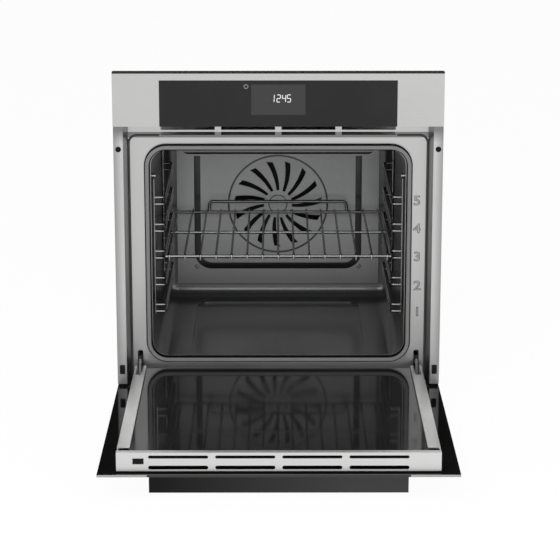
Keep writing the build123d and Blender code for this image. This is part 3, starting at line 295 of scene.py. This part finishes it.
def polished_glass(name, dark, light, gloss=0.5, clear=0.03, dull=0.09):
    """Black glass with faint smudges. Gives back its axes and tint for more."""
    material, tree, shader = new_finish(name, IOR=1.5, Specular_IOR_Level=gloss)
    marks = use_group(tree, smudged)["Marks"]
    feed(tree, shader.inputs["Roughness"], spread(tree, marks, clear, dull))
    tint = blend_colours(tree, marks, grey(dark), grey(light))
    return material, tree, shader, axes_of(tree, object_place(tree)), tint


# Door glass: black print under it, a slightly clearer window, and ground edges, with painted shade on the
# edges behind the handle
door_glass, tree, shader, axes, tint = polished_glass("door_black_glass", 0.004, 0.006, gloss=0.12)
window_x, window_y = (-0.215, 0.215), (-0.64, -0.36)
window = panel_mask(tree, axes["X"], axes["Y"], window_x, window_y)
tint = blend_colours(tree, window, tint, grey(0.010))
edge = sums(tree, "LESS_THAN", sums(tree, "ABSOLUTE", facing_of(tree)["Z"]), 0.5)
handle_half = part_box("door_handle")[1].x
# Painted shade: the ground edges are dark where the handle stands in front of them
painted_handle_shade = within(tree, axes["X"], -handle_half, handle_half)
edge_tint = blend_colours(tree, painted_handle_shade, grey(0.24), grey(0.03))
feed(tree, shader.inputs["Base Color"], blend_colours(tree, edge, tint, edge_tint))

# Display glass: dark panel with the lighter window of the display
display_glass, tree, shader, axes, tint = polished_glass("display_black_glass", 0.009, 0.012, gloss=0.22)
lcd_x, lcd_z = (-0.0485, 0.0485), (0.5185, 0.5735)
lcd = panel_mask(tree, axes["X"], axes["Z"], lcd_x, lcd_z)
feed(tree, shader.inputs["Base Color"], blend_colours(tree, lcd, tint, grey(0.028)))

# Inner door glass: dark coated glass that mirrors the oven
inner_glass, tree, shader, axes, tint = polished_glass("oven_glass", 0.011, 0.015, gloss=0.28,
                                                       clear=0.05, dull=0.11)
feed(tree, shader.inputs["Base Color"], tint)

# Lamp glass
lamp_glass, tree, shader = new_finish("lamp_glass", IOR=1.5, Transmission_Weight=0.85)
ripple = noise(tree, object_place(tree), scale=260.0)
feed(tree, shader.inputs["Base Color"], blend_colours(tree, ripple, grey(0.80), grey(0.92)))
feed(tree, shader.inputs["Roughness"], spread(tree, ripple, low=0.02, high=0.12))
feed(tree, shader.inputs["Normal"], relief(tree, ripple, strength=0.3, distance=0.0006))

# Enamel: the strength of its clear coat, and the shine of the surface under it
coat, shine = 0.6, 0.5


def fired_enamel(name, dark, light):
    """Glossy charcoal enamel with tiny pale dots. Gives back its axes and colour for more."""
    material, tree, shader = new_finish(name, IOR=1.5, Coat_Weight=coat, Coat_Roughness=0.15)
    dots = use_group(tree, speckled)["Dots"]
    drift = noise(tree, object_place(tree), scale=5.0, detail=3.0)
    ground = blend_colours(tree, drift, warm(dark, tint=-0.01), warm(light, tint=-0.01))
    orange_peel = noise(tree, object_place(tree), scale=160.0)
    feed(tree, shader.inputs["Roughness"], spread(tree, drift, low=0.26, high=0.38))
    feed(tree, shader.inputs["Normal"], relief(tree, orange_peel, strength=0.12, distance=0.0006))
    colour = blend_colours(tree, dots, ground, grey(3 * light))
    return material, tree, shader, axes_of(tree, object_place(tree)), colour


# Cavity: painted shade in the chamber behind the fan cover
enamel, tree, shader, axes, colour = fired_enamel("enamel", 0.019, 0.029)
chamber_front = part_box("fan_cover")[1].y + 0.0005
painted_chamber_shade = sums(tree, "GREATER_THAN", axes["Y"], chamber_front)
feed(tree, shader.inputs["Base Color"], blend_colours(tree, painted_chamber_shade, colour, grey(0.008)))

# Ceiling apron: the same enamel made paler as painted light, with a dull dark line of painted shade along
# its lower edge
apron_enamel, tree, shader, axes, colour = fired_enamel("apron_enamel", 0.085, 0.110)
line_top, line_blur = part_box("grill_apron")[0].z + 0.0030, 0.0010
apron_edge_shade = spread(tree, axes["Z"], 1.0, 0.0, line_top, line_top + line_blur)
feed(tree, shader.inputs["Base Color"], blend_colours(tree, apron_edge_shade, colour, grey(0.006)))
feed(tree, shader.inputs["Specular IOR Level"], spread(tree, apron_edge_shade, shine, 0.0))
feed(tree, shader.inputs["Coat Weight"], spread(tree, apron_edge_shade, coat, 0.0))

# Fan cover: the same enamel made much paler as painted light, with painted shade low down and in its ring
# groove, and a dark line round its hub
cover_enamel, tree, shader, axes, colour = fired_enamel("cover_enamel", 0.275, 0.325)
fan_z, ring_groove, ring_line, hub_edge, hub_line = 0.2505, 0.1007, 0.0019, 0.0184, 0.0011
shade_top, shade_low = 0.19, 0.09
painted_low_shade = spread(tree, axes["Z"], 0.0, 1.0, shade_top, shade_low)
colour = blend_colours(tree, painted_low_shade, colour, grey(0.11))
height = sums(tree, "SUBTRACT", axes["Z"], fan_z)
radius = sums(tree, "SQRT", sums(tree, "MULTIPLY_ADD", axes["X"], axes["X"],
                                 sums(tree, "MULTIPLY", height, height)))
# Painted shade: a dark line in the ring groove
groove = within(tree, radius, ring_groove - ring_line, ring_groove + ring_line)
colour = blend_colours(tree, groove, colour, grey(0.008))
hub = within(tree, radius, hub_edge - hub_line, hub_edge + hub_line)
feed(tree, shader.inputs["Base Color"], blend_colours(tree, hub, colour, grey(0.04)))

# Gasket: a grey woven braid, its flanks dull and painted dark as shade
gasket, tree, shader = new_finish("gasket_braid")
yarn = []
for turn in (45, -45):
    mapping = place(tree, "ShaderNodeMapping")
    feed(tree, mapping.inputs["Vector"], object_place(tree))
    mapping.inputs["Rotation"].default_value = (0.0, radians(turn), 0.0)
    wave = place(tree, "ShaderNodeTexWave")
    feed(tree, wave.inputs["Vector"], mapping.outputs["Vector"])
    wave.inputs["Scale"].default_value = 170.0
    yarn.append(wave.outputs["Fac"])
weave = sums(tree, "MAXIMUM", *yarn)
shaded_flank = spread(tree, facing_of(tree)["Y"], 0.0, 1.0, start=-0.97, end=-0.80)
feed(tree, shader.inputs["Sheen Weight"], spread(tree, shaded_flank, 0.25, 0.0))
feed(tree, shader.inputs["Specular IOR Level"], spread(tree, shaded_flank, shine, 0.0))
braid = blend_colours(tree, weave, grey(0.075), grey(0.145))
feed(tree, shader.inputs["Base Color"], blend_colours(tree, shaded_flank, braid, grey(0.004)))
feed(tree, shader.inputs["Roughness"], spread(tree, weave, low=0.9, high=0.6))
feed(tree, shader.inputs["Normal"], relief(tree, weave, strength=0.5, distance=0.0008))

# Wool: pale mineral fibre
wool, tree, shader = new_finish("mineral_wool", Sheen_Weight=0.3)
fibre_place = stretched(tree, object_place(tree), (60.0, 60.0, 500.0))
fibre = noise(tree, fibre_place, scale=1.0, detail=6.0, roughness=0.7)
feed(tree, shader.inputs["Base Color"],
     blend_colours(tree, fibre, (0.30, 0.26, 0.16, 1.0), (0.62, 0.56, 0.40, 1.0)))
feed(tree, shader.inputs["Roughness"], spread(tree, fibre, low=0.85, high=1.0))
feed(tree, shader.inputs["Normal"], relief(tree, fibre, strength=0.9, distance=0.003))

# Circuit board: green lacquer with darker copper fields
board, tree, shader = new_finish("circuit_board", IOR=1.5)
fields = place(tree, "ShaderNodeTexBrick")
feed(tree, fields.inputs["Vector"], stretched(tree, object_place(tree), (60.0, 60.0, 60.0)))
feed(tree, shader.inputs["Base Color"],
     blend_colours(tree, fields.outputs["Fac"], (0.012, 0.09, 0.04, 1.0), (0.02, 0.16, 0.07, 1.0)))
feed(tree, shader.inputs["Roughness"], spread(tree, fields.outputs["Fac"], low=0.32, high=0.5))

# Digits: soft white light with a little unevenness
digit_light, tree, shader = new_finish("digit_light", Emission_Strength=1.0, Roughness=0.4)
glow = noise(tree, object_place(tree), scale=500.0)
feed(tree, shader.inputs["Base Color"], blend_colours(tree, glow, grey(0.05), grey(0.07)))
feed(tree, shader.inputs["Emission Color"], blend_colours(tree, glow, grey(0.70), grey(0.88)))

# Printed sign: pale grey ink
sign_ink, tree, shader = new_finish("sign_ink")
ink = noise(tree, object_place(tree), scale=900.0)
feed(tree, shader.inputs["Base Color"], blend_colours(tree, ink, grey(0.20), grey(0.27)))
feed(tree, shader.inputs["Roughness"], spread(tree, ink, low=0.4, high=0.6))

# Steel, with the photo's shade where a piece has it
across, upright, lengthways = (14.0, 1500.0, 1500.0), (1500.0, 1500.0, 14.0), (1500.0, 14.0, 1500.0)
crisp = 0.0002
fascia_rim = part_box("fascia_panel")[1].z - 0.0021
steel_across = brushed_steel("steel_across", across, dark=0.50, light=0.56, smooth=0.25, rough=0.33,
                             depth=0.02, fades=[("Z", False, fascia_rim, fascia_rim + 0.0006, 0.02)])
# Painted shade on the trims: darker at their outer edges, at their tops under the fascia, and on the wall
# of the recess
trim_painted_shade = [("X", True, 0.284, 0.298, 0.32),
              ("Z", False, 0.466, 0.488, 0.22),
              ("X", True, 0.2803, 0.2797, 0.24)]
steel_upright = brushed_steel("steel_upright", upright, dark=0.52, light=0.58, smooth=0.25, rough=0.33,
                              depth=0.02, fades=trim_painted_shade)
# Painted shade on the door's side rails, darker towards the hinge
rail_painted_shade = [("Y", False, -0.56, -0.31, 0.28)]
steel_lengthways = brushed_steel("steel_lengthways", lengthways, dark=0.74, light=0.82, smooth=0.26,
                                 rough=0.34, depth=0.015, fades=rail_painted_shade)
# The door's top edge: a paler copy of the steel as painted light, painted shade behind its end face, a
# plain pale top face, and darker over its lowest 3 mm
rail_low, rail_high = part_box("door_top_rail")
rail_back, rail_roof, rail_strip = rail_low.y + 0.0013, rail_high.z - 0.0013, rail_low.z + 0.0032
edge_fades = [("Y", False, rail_back, rail_back + crisp, 0.01),
              ("Z", False, rail_roof, rail_roof + crisp, 0.65),
              ("Z", False, rail_strip, rail_strip - 0.0010, 0.008)]
steel_edge = brushed_steel("steel_edge", across, dark=0.62, light=0.68, smooth=0.42, rough=0.50,
                           depth=0.02, fades=edge_fades)
# Painted shade on the louver below the bar between its slot rows
louver_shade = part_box("louver_plate")[0].z + 0.0105
louver_painted_shade = [("Z", False, louver_shade, louver_shade - 0.0005, 0.20)]
steel_louver = brushed_steel("steel_louver", across, dark=0.50, light=0.56, smooth=0.25, rough=0.33,
                             depth=0.02, fades=louver_painted_shade)
steel_frame = brushed_steel("steel_frame", (900.0, 900.0, 30.0), dark=0.49, light=0.54, smooth=0.27,
                            rough=0.34, depth=0.015)
# Painted reflection on the handle: darker towards the left
handle_painted_reflection = [("X", False, 0.12, -0.20, 0.016)]
handle_metal = brushed_steel("handle_metal", across, dark=0.048, light=0.066, smooth=0.34, rough=0.44,
                             depth=0.04, fades=handle_painted_reflection)

# Metals by name: dark, light, smooth, rough and the fineness of the mottle
chrome_wire = plain_metal("chrome_wire", 0.16, 0.25, 0.16, 0.26, 40.0)
bright_steel = plain_metal("bright_steel", 0.42, 0.56, 0.22, 0.36, 120.0)
hinge_steel = plain_metal("hinge_steel", 0.04, 0.09, 0.34, 0.50, 60.0)
digit_steel = plain_metal("digit_steel", 0.09, 0.14, 0.40, 0.52, 60.0)
dark_steel = plain_metal("dark_steel", 0.018, 0.040, 0.40, 0.55, 80.0)
element_metal = plain_metal("element_metal", 0.06, 0.12, 0.38, 0.55, 90.0)
aluminium = plain_metal("aluminium", 0.62, 0.74, 0.28, 0.42, 70.0)
galvanised = galvanised_sheet("galvanised", dark=0.36, light=0.56, smooth=0.58, rough=0.72)
black_plastic = moulded_plastic("black_plastic", dark=0.018, light=0.032, rough=0.5)
display_plastic = moulded_plastic("display_plastic", dark=0.010, light=0.016, rough=0.3)
black_rubber = moulded_plastic("black_rubber", dark=0.004, light=0.008, rough=0.8, gloss=0.1)

finishes = {
    steel_across: ["fascia_panel", "door_bottom_rail"],
    steel_louver: ["louver_plate"],
    steel_edge: ["door_top_rail"],
    steel_upright: ["side_trim_left", "side_trim_right"],
    steel_lengthways: ["door_rail_left", "door_rail_right"],
    steel_frame: ["front_frame"],
    door_glass: ["door_outer_glass"],
    display_glass: ["display_glass"],
    inner_glass: ["door_inner_glass", "door_mid_glass"],
    lamp_glass: ["lamp_lens"],
    display_plastic: ["display_module"],
    black_plastic: ["cable_gland", "fascia_carrier", "terminal_block"],
    board: ["control_board"],
    gasket: ["door_gasket"],
    enamel: ["oven_cavity"],
    apron_enamel: ["grill_apron"],
    cover_enamel: ["fan_cover"],
    dark_steel: ["convection_fan"],
    chrome_wire: ["fan_cover_screws", "rack_studs", "side_rack_left", "side_rack_right", "wire_shelf"],
    element_metal: ["bottom_element", "grill_element", "ring_element"],
    bright_steel: ["casing_screws", "handle_posts", "hinge_pins", "hinge_rod_left", "hinge_rod_right",
                   "temperature_probe"],
    hinge_steel: ["hinge_arm_left", "hinge_arm_right", "hinge_lock_left", "hinge_lock_right",
                  "hinge_springs", "spring_seats"],
    galvanised: ["air_duct", "base_panel", "blower_housing", "blower_motor", "control_deck",
                 "fan_motor", "hinge_receiver_left", "hinge_receiver_right",
                 "lamp_housing", "rear_panel", "side_panel_left", "side_panel_right", "top_cover"],
    aluminium: ["blower_rotor"],
    wool: ["insulation"],
    handle_metal: ["door_handle"],
}
for material, members in finishes.items():
    for name in members:
        mesh = nodes[name].data
        mesh.materials.clear()
        mesh.materials.append(material)


# Modelling helpers

sides = ((-1, "left"), (1, "right"))
square_on = 0.9  # A face looks along an axis when that part of its normal is larger


def begin(name):
    """Name the primitive that was just added."""
    piece = bpy.context.active_object
    piece.name = name
    piece.data.name = name
    return piece


def box_piece(name, size, centre=(0, 0, 0)):
    """A box of that size round a centre."""
    bpy.ops.mesh.primitive_cube_add(size=1.0)
    piece = begin(name)
    piece.scale = size
    piece.location = centre
    bpy.ops.object.transform_apply(location=True, rotation=False, scale=True)
    return piece


def twin(piece):
    """A copy of a piece with its own mesh."""
    copy = piece.copy()
    copy.data = piece.data.copy()
    bpy.context.collection.objects.link(copy)
    return copy


def settle(piece, body, material):
    """Put a finished piece's place into its mesh, and hand it to its body."""
    bpy.ops.object.select_all(action="DESELECT")
    piece.select_set(True)
    bpy.context.view_layer.objects.active = piece
    bpy.ops.object.transform_apply(location=True, rotation=True, scale=True)
    piece.data.materials.clear()
    piece.data.materials.append(material)
    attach(piece, body)
    bpy.ops.object.select_all(action="DESELECT")


def join(pieces, name):
    """Join several copies into one piece."""
    bpy.ops.object.select_all(action="DESELECT")
    for piece in pieces:
        piece.select_set(True)
    bpy.context.view_layer.objects.active = pieces[0]
    bpy.ops.object.join()
    return begin(name)


def edit_all():
    """Go into edit mode with everything selected."""
    bpy.ops.object.mode_set(mode="EDIT")
    bpy.ops.mesh.select_all(action="SELECT")


def edit_faces(piece, test):
    """Go into edit mode with the faces selected whose centre and normal pass a test."""
    bpy.ops.object.mode_set(mode="EDIT")
    bpy.ops.mesh.select_mode(type="FACE")
    bpy.ops.mesh.select_all(action="DESELECT")
    bpy.ops.object.mode_set(mode="OBJECT")
    for face in piece.data.polygons:
        face.select = test(face.center, face.normal)
    bpy.ops.object.mode_set(mode="EDIT")


def extrude(shift):
    """Extrude what is selected by a shift."""
    bpy.ops.mesh.extrude_region_move(TRANSFORM_OT_translate={"value": shift})


def edit_done(smooth_angle=None):
    """Leave edit mode, and shade smooth up to an angle where one is given."""
    bpy.ops.object.mode_set(mode="OBJECT")
    if smooth_angle is not None:
        bpy.ops.object.shade_smooth_by_angle(angle=radians(smooth_angle))


# Clock: one light bar, tapered to points, copied into the digits of a plain clock
fascia_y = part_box("display_glass")[0].y
digit_width, digit_height = 0.0060, 0.0130
bar_width, bar_depth = 0.0014, 0.0002
point_share, point_width = 0.4, 0.3
clock_places = (-0.0103, 0.0007, 0.0102, 0.0191)
clock_z = 0.5483
slant = 0.05
quarter_turn = Matrix.Rotation(radians(90), 4, "Y")


def light_bar(length):
    """A flat bar along X with pointed ends."""
    bar = box_piece("light_bar", (length - bar_width, bar_depth, bar_width))
    for end in (-1, 1):
        edit_faces(bar, lambda centre, normal: normal.x * end > square_on)
        extrude((end * bar_width * point_share, 0, 0))
        bpy.ops.transform.resize(value=(1.0, 1.0, point_width))
        edit_done()
    bar.select_set(False)
    return bar


half_digit = digit_height / 2
segment_places = {
    "top": (0.0, half_digit, False), "middle": (0.0, 0.0, False), "bottom": (0.0, -half_digit, False),
    "upper_left": (-digit_width / 2, half_digit / 2, True),
    "upper_right": (digit_width / 2, half_digit / 2, True),
    "lower_left": (-digit_width / 2, -half_digit / 2, True),
    "lower_right": (digit_width / 2, -half_digit / 2, True),
}
clock_digits = [
    ("upper_right", "lower_right"),
    ("top", "upper_right", "middle", "lower_left", "bottom"),
    ("upper_left", "upper_right", "middle", "lower_right"),
    ("top", "upper_left", "middle", "lower_right", "bottom"),
]
flat_bar = light_bar(digit_width)
tall_bar = light_bar(half_digit)
lean = Matrix.Identity(4)
lean[0][2] = slant
bars = []
for clock_x, segments in zip(clock_places, clock_digits):
    for segment in segments:
        x, z, stands = segment_places[segment]
        bar = twin(tall_bar if stands else flat_bar)
        turn = quarter_turn if stands else Matrix.Identity(4)
        shift = Matrix.Translation((clock_x, fascia_y - bar_depth / 2, clock_z))
        bar.data.transform(shift @ lean @ Matrix.Translation((x, 0, z)) @ turn)
        bars.append(bar)
for source in (flat_bar, tall_bar):
    bpy.data.objects.remove(source)
clock = join(bars, "clock_digits")
settle(clock, "oven", digit_light)

# Touch sign beside the display: an open ring with a short bar
sign_x, sign_z, sign_radius, sign_line, sign_gap = -0.0577, 0.570, 0.0040, 0.0008, 0.0013
stem_height, stem_width = 0.75, 0.6
bpy.ops.mesh.primitive_circle_add(vertices=48, radius=sign_radius, rotation=(radians(90), 0, 0),
                                  location=(sign_x, fascia_y - bar_depth / 2, sign_z))
ring = begin("touch_sign")
bpy.ops.object.transform_apply(location=True, rotation=True, scale=True)
edit_all()
bpy.ops.mesh.extrude_edges_move()
inner_share = 1 - sign_line / sign_radius
bpy.ops.transform.resize(value=(inner_share, 1.0, inner_share), center_override=(sign_x, fascia_y, sign_z))
edit_done()
edit_faces(ring, lambda centre, normal: centre.z > sign_z and abs(centre.x - sign_x) < sign_gap)
bpy.ops.mesh.delete(type="FACE")
edit_done()
thicken = ring.modifiers.new("thickness", "SOLIDIFY")
thicken.thickness = bar_depth
thicken.offset = 0.0
bpy.ops.object.modifier_apply(modifier=thicken.name)
bpy.ops.object.select_all(action="DESELECT")
stem = light_bar(sign_radius)
stem_place = (sign_x, fascia_y - bar_depth / 2, sign_z + sign_radius * stem_height)
stem.data.transform(Matrix.Translation(stem_place) @ quarter_turn
                    @ Matrix.Scale(stem_width, 4, (0, 0, 1)))
touch_sign = join([ring, stem], "touch_sign")
settle(touch_sign, "oven", sign_ink)

# Level digits: raised outlines on the frame's right side, one beside each pair of guides
frame_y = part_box("front_frame")[0].y
level_size, level_line, level_spread = 0.0250, 0.0006, 1.12
level_places = [("1", 0.2576, 0.1389), ("2", 0.2568, 0.1889), ("3", 0.2559, 0.2443),
                ("4", 0.2550, 0.2975), ("5", 0.2542, 0.3503)]
for word, x, z in level_places:
    bpy.ops.object.text_add()
    digit = begin(f"level_digit_{word}")
    digit.data.body = word
    digit.data.align_x = "CENTER"
    digit.data.align_y = "CENTER"
    digit.data.size = level_size
    digit.data.fill_mode = "NONE"
    digit.data.bevel_depth = level_line
    digit.data.bevel_resolution = 2
    digit.data.resolution_u = 6
    bpy.ops.object.convert(target="MESH")
    digit = begin(f"level_digit_{word}")
    digit.rotation_euler = (radians(90), 0, 0)
    digit.scale = (level_spread, 1.0, 1.0)
    digit.location = (x, frame_y, z)
    settle(digit, "oven", digit_steel)

# Bare plate on the door's top edge
plate_low, plate_high = Vector((-0.2390, 0.0, 0.0208)), Vector((-0.2210, 0.0, 0.0304))
plate_depth, plate_sink, plate_rim, plate_step = 0.0007, 0.00015, 0.0008, 0.0002
plate_size, plate_centre = plate_high - plate_low, (plate_low + plate_high) / 2
plate = box_piece("edge_plate", (plate_size.x, plate_depth, plate_size.z),
                  (plate_centre.x, rail_low.y + plate_sink, plate_centre.z))
edit_faces(plate, lambda centre, normal: normal.y < -square_on)
bpy.ops.mesh.inset(thickness=plate_rim, depth=-plate_step)
edit_done()
settle(plate, "door", black_rubber)

# Seams: a dark cord in the joint between frame and trim, turning in under the louver, that marks the joint
# and stands in as painted shade for the recess
seam_x, seam_low, seam_top, seam_end, seam_bend = 0.2722, 0.0140, 0.4735, 0.2165, 0.0150
seam_radius = 0.0021
bpy.ops.mesh.primitive_circle_add(vertices=12, radius=seam_radius, fill_type="NGON",
                                  location=(seam_x, frame_y, seam_low))
seam = begin("frame_seam_right")
bpy.ops.object.transform_apply(location=True, rotation=True, scale=True)
edit_all()
extrude((0, 0, seam_top - seam_bend - seam_low))
bpy.ops.mesh.spin(steps=10, angle=radians(90), axis=(0, 1, 0),
                  center=(seam_x - seam_bend, frame_y, seam_top - seam_bend))
extrude((seam_end - (seam_x - seam_bend), 0, 0))
bpy.ops.mesh.select_all(action="SELECT")
bpy.ops.mesh.remove_doubles(threshold=0.00001)
bpy.ops.mesh.normals_make_consistent(inside=False)
edit_done(smooth_angle=40)
other_seam = twin(seam)
other_seam.name = "frame_seam_left"
other_seam.data.transform(Matrix.Scale(-1, 4, (1, 0, 0)))
other_seam.data.flip_normals()
for piece in (seam, other_seam):
    settle(piece, "oven", black_plastic)

# Buffers: rubber stops low on the trims that the closed door rests against
trim_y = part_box("side_trim_left")[0].y
buffer_size = (0.0095, 0.0026, 0.0170)
buffer_x, buffer_z, buffer_bevel, buffer_round = 0.2885, 0.0390, 0.0012, 0.35
for side, word in sides:
    buffer = box_piece(f"door_buffer_{word}", buffer_size,
                       (side * buffer_x, trim_y - buffer_size[1] / 2, buffer_z))
    edit_all()
    bpy.ops.mesh.bevel(offset=buffer_bevel, segments=4, affect="EDGES")
    bpy.ops.mesh.select_all(action="SELECT")
    bpy.ops.transform.tosphere(value=buffer_round)
    edit_done(smooth_angle=50)
    settle(buffer, "oven", black_rubber)

# Feet: rubber pads that close the recess between frame and trim at its lower end
foot_inner, foot_outer, foot_taper, foot_bevel = 0.2672, 0.2798, 0.45, 0.0006
foot_front, foot_back, foot_low, foot_high = trim_y + 0.002, frame_y - 0.0003, 0.0110, 0.0145
foot_size = (foot_outer - foot_inner, foot_back - foot_front, foot_high - foot_low)
for side, word in sides:
    foot = box_piece(f"recess_foot_{word}", foot_size,
                     (side * (foot_inner + foot_outer) / 2, (foot_front + foot_back) / 2,
                      (foot_low + foot_high) / 2))
    edit_faces(foot, lambda centre, normal: normal.y > square_on)
    bpy.ops.transform.resize(value=(foot_taper, 1.0, 1.0), center_override=(side * foot_inner, 0, 0))
    bpy.ops.mesh.select_all(action="SELECT")
    bpy.ops.mesh.bevel(offset=foot_bevel, segments=2, affect="EDGES")
    edit_done(smooth_angle=40)
    settle(foot, "oven", black_rubber)

# Grommets in the fixing holes of the side trims
grommet_radius, grommet_depth, grommet_rim, grommet_sink = 0.005015, 0.0011, 0.0016, 0.0009
hole_x, hole_z = cad_high.x - 0.0088, 0.454
for side, word in sides:
    bpy.ops.mesh.primitive_cylinder_add(vertices=40, radius=grommet_radius, depth=grommet_depth,
                                        end_fill_type="NGON", rotation=(radians(90), 0, 0),
                                        location=(side * hole_x, trim_y - grommet_depth / 2, hole_z))
    grommet = begin(f"trim_grommet_{word}")
    bpy.ops.object.transform_apply(location=True, rotation=True, scale=True)
    edit_faces(grommet, lambda centre, normal: normal.y < -square_on)
    bpy.ops.mesh.inset(thickness=grommet_rim)
    extrude((0, grommet_sink, 0))
    edit_done()
    settle(grommet, "oven", black_rubber)


# Stage: a pale floor that keeps the shadow, soft lamps, and a white surround

def surround(tree, output_kind, plain, white, share):
    """A plain shader that turns white for the camera, for reflections and through glass."""
    path = place(tree, "ShaderNodeLightPath").outputs
    seen = sums(tree, "MAXIMUM", path["Is Camera Ray"],
                sums(tree, "MAXIMUM", path["Is Glossy Ray"], path["Is Transmission Ray"]))
    mix = place(tree, "ShaderNodeMixShader")
    feed(tree, mix.inputs[0], sums(tree, "MULTIPLY", seen, share))
    tree.links.new(plain.outputs[0], mix.inputs[1])
    tree.links.new(white.outputs[0], mix.inputs[2])
    tree.links.new(mix.outputs[0], place(tree, output_kind).inputs["Surface"])


floor_gap, floor_size = 0.0005, 80.0
bpy.ops.mesh.primitive_plane_add(size=floor_size, location=(0, 0, cad_low.z - floor_gap))
floor = begin("studio_floor")
floor_paint = bpy.data.materials.new("floor_paint")
floor_paint.use_nodes = True
tree = floor_paint.node_tree
tree.nodes.clear()
matte = place(tree, "ShaderNodeBsdfDiffuse")
matte.inputs["Color"].default_value = grey(0.86)
white = place(tree, "ShaderNodeEmission")
white.inputs["Color"].default_value = grey(1.0)
surround(tree, "ShaderNodeOutputMaterial", matte, white, share=0.96)
floor.data.materials.append(floor_paint)

world = bpy.data.worlds.new("studio_air")
bpy.context.scene.world = world
world.use_nodes = True
tree = world.node_tree
tree.nodes.clear()
airs = []
for strength in (0.45, 1.0):
    air = place(tree, "ShaderNodeBackground")
    air.inputs["Color"].default_value = grey(1.0)
    air.inputs["Strength"].default_value = strength
    airs.append(air)
surround(tree, "ShaderNodeOutputWorld", *airs, share=1.0)


def lamp(name, position, target, size, power, mirrored=True):
    """A square soft light aimed at a point. Reflections may leave it out."""
    bpy.ops.object.light_add(type="AREA", location=position)
    light = bpy.context.active_object
    light.name = name
    light.data.size = size
    light.data.energy = power
    aim = Vector(target) - Vector(position)
    light.rotation_euler = aim.to_track_quat("-Z", "Y").to_euler()
    light.visible_glossy = mirrored


lamp("key_light", (-1.4, -2.6, 2.4), (0, -0.1, 0.3), size=2.0, power=57.0)
lamp("fill_light", (1.8, -2.6, 1.4), (0, -0.1, 0.25), size=2.0, power=28.0)
lamp("front_light", (0, -4.4, 1.3), (0, 0, 0.3), size=1.6, power=68.0, mirrored=False)
lamp("top_light", (0, -2.6, 1.95), (0, 0.1, 0.1), size=0.9, power=11.0)

# Dark card far behind the part, which only reflections see
card_place, card_size = (0, 6.0, 2.6), (4.0, 3.0, 1.0)
bpy.ops.mesh.primitive_plane_add(size=1.0, rotation=(radians(90), 0, 0), location=card_place)
card = begin("dark_card")
card.scale = card_size
card.visible_camera = False
card.visible_diffuse = False
card.visible_shadow = False
card_paint, tree, shader = new_finish("card_paint", Roughness=1.0)
cloth = noise(tree, object_place(tree), scale=30.0)
feed(tree, shader.inputs["Base Color"], blend_colours(tree, cloth, grey(0.006), grey(0.010)))
card.data.materials.append(card_paint)

# Camera at the photo's height and distance
camera_place, camera_tilt, camera_turn = (-0.00598, -3.8378, 1.1659), 13.505, -0.146
camera_data = bpy.data.cameras.new("photo_camera")
camera = bpy.data.objects.new("photo_camera", camera_data)
bpy.context.collection.objects.link(camera)
camera.location = camera_place
camera.rotation_euler = (radians(90 - camera_tilt), 0, radians(camera_turn))
camera_data.sensor_width = 36.0
camera_data.lens = 128.68
camera_data.shift_y = -0.1
camera_data.clip_end = 200.0
bpy.context.scene.camera = camera
bpy.context.scene.view_settings.view_transform = "Standard"
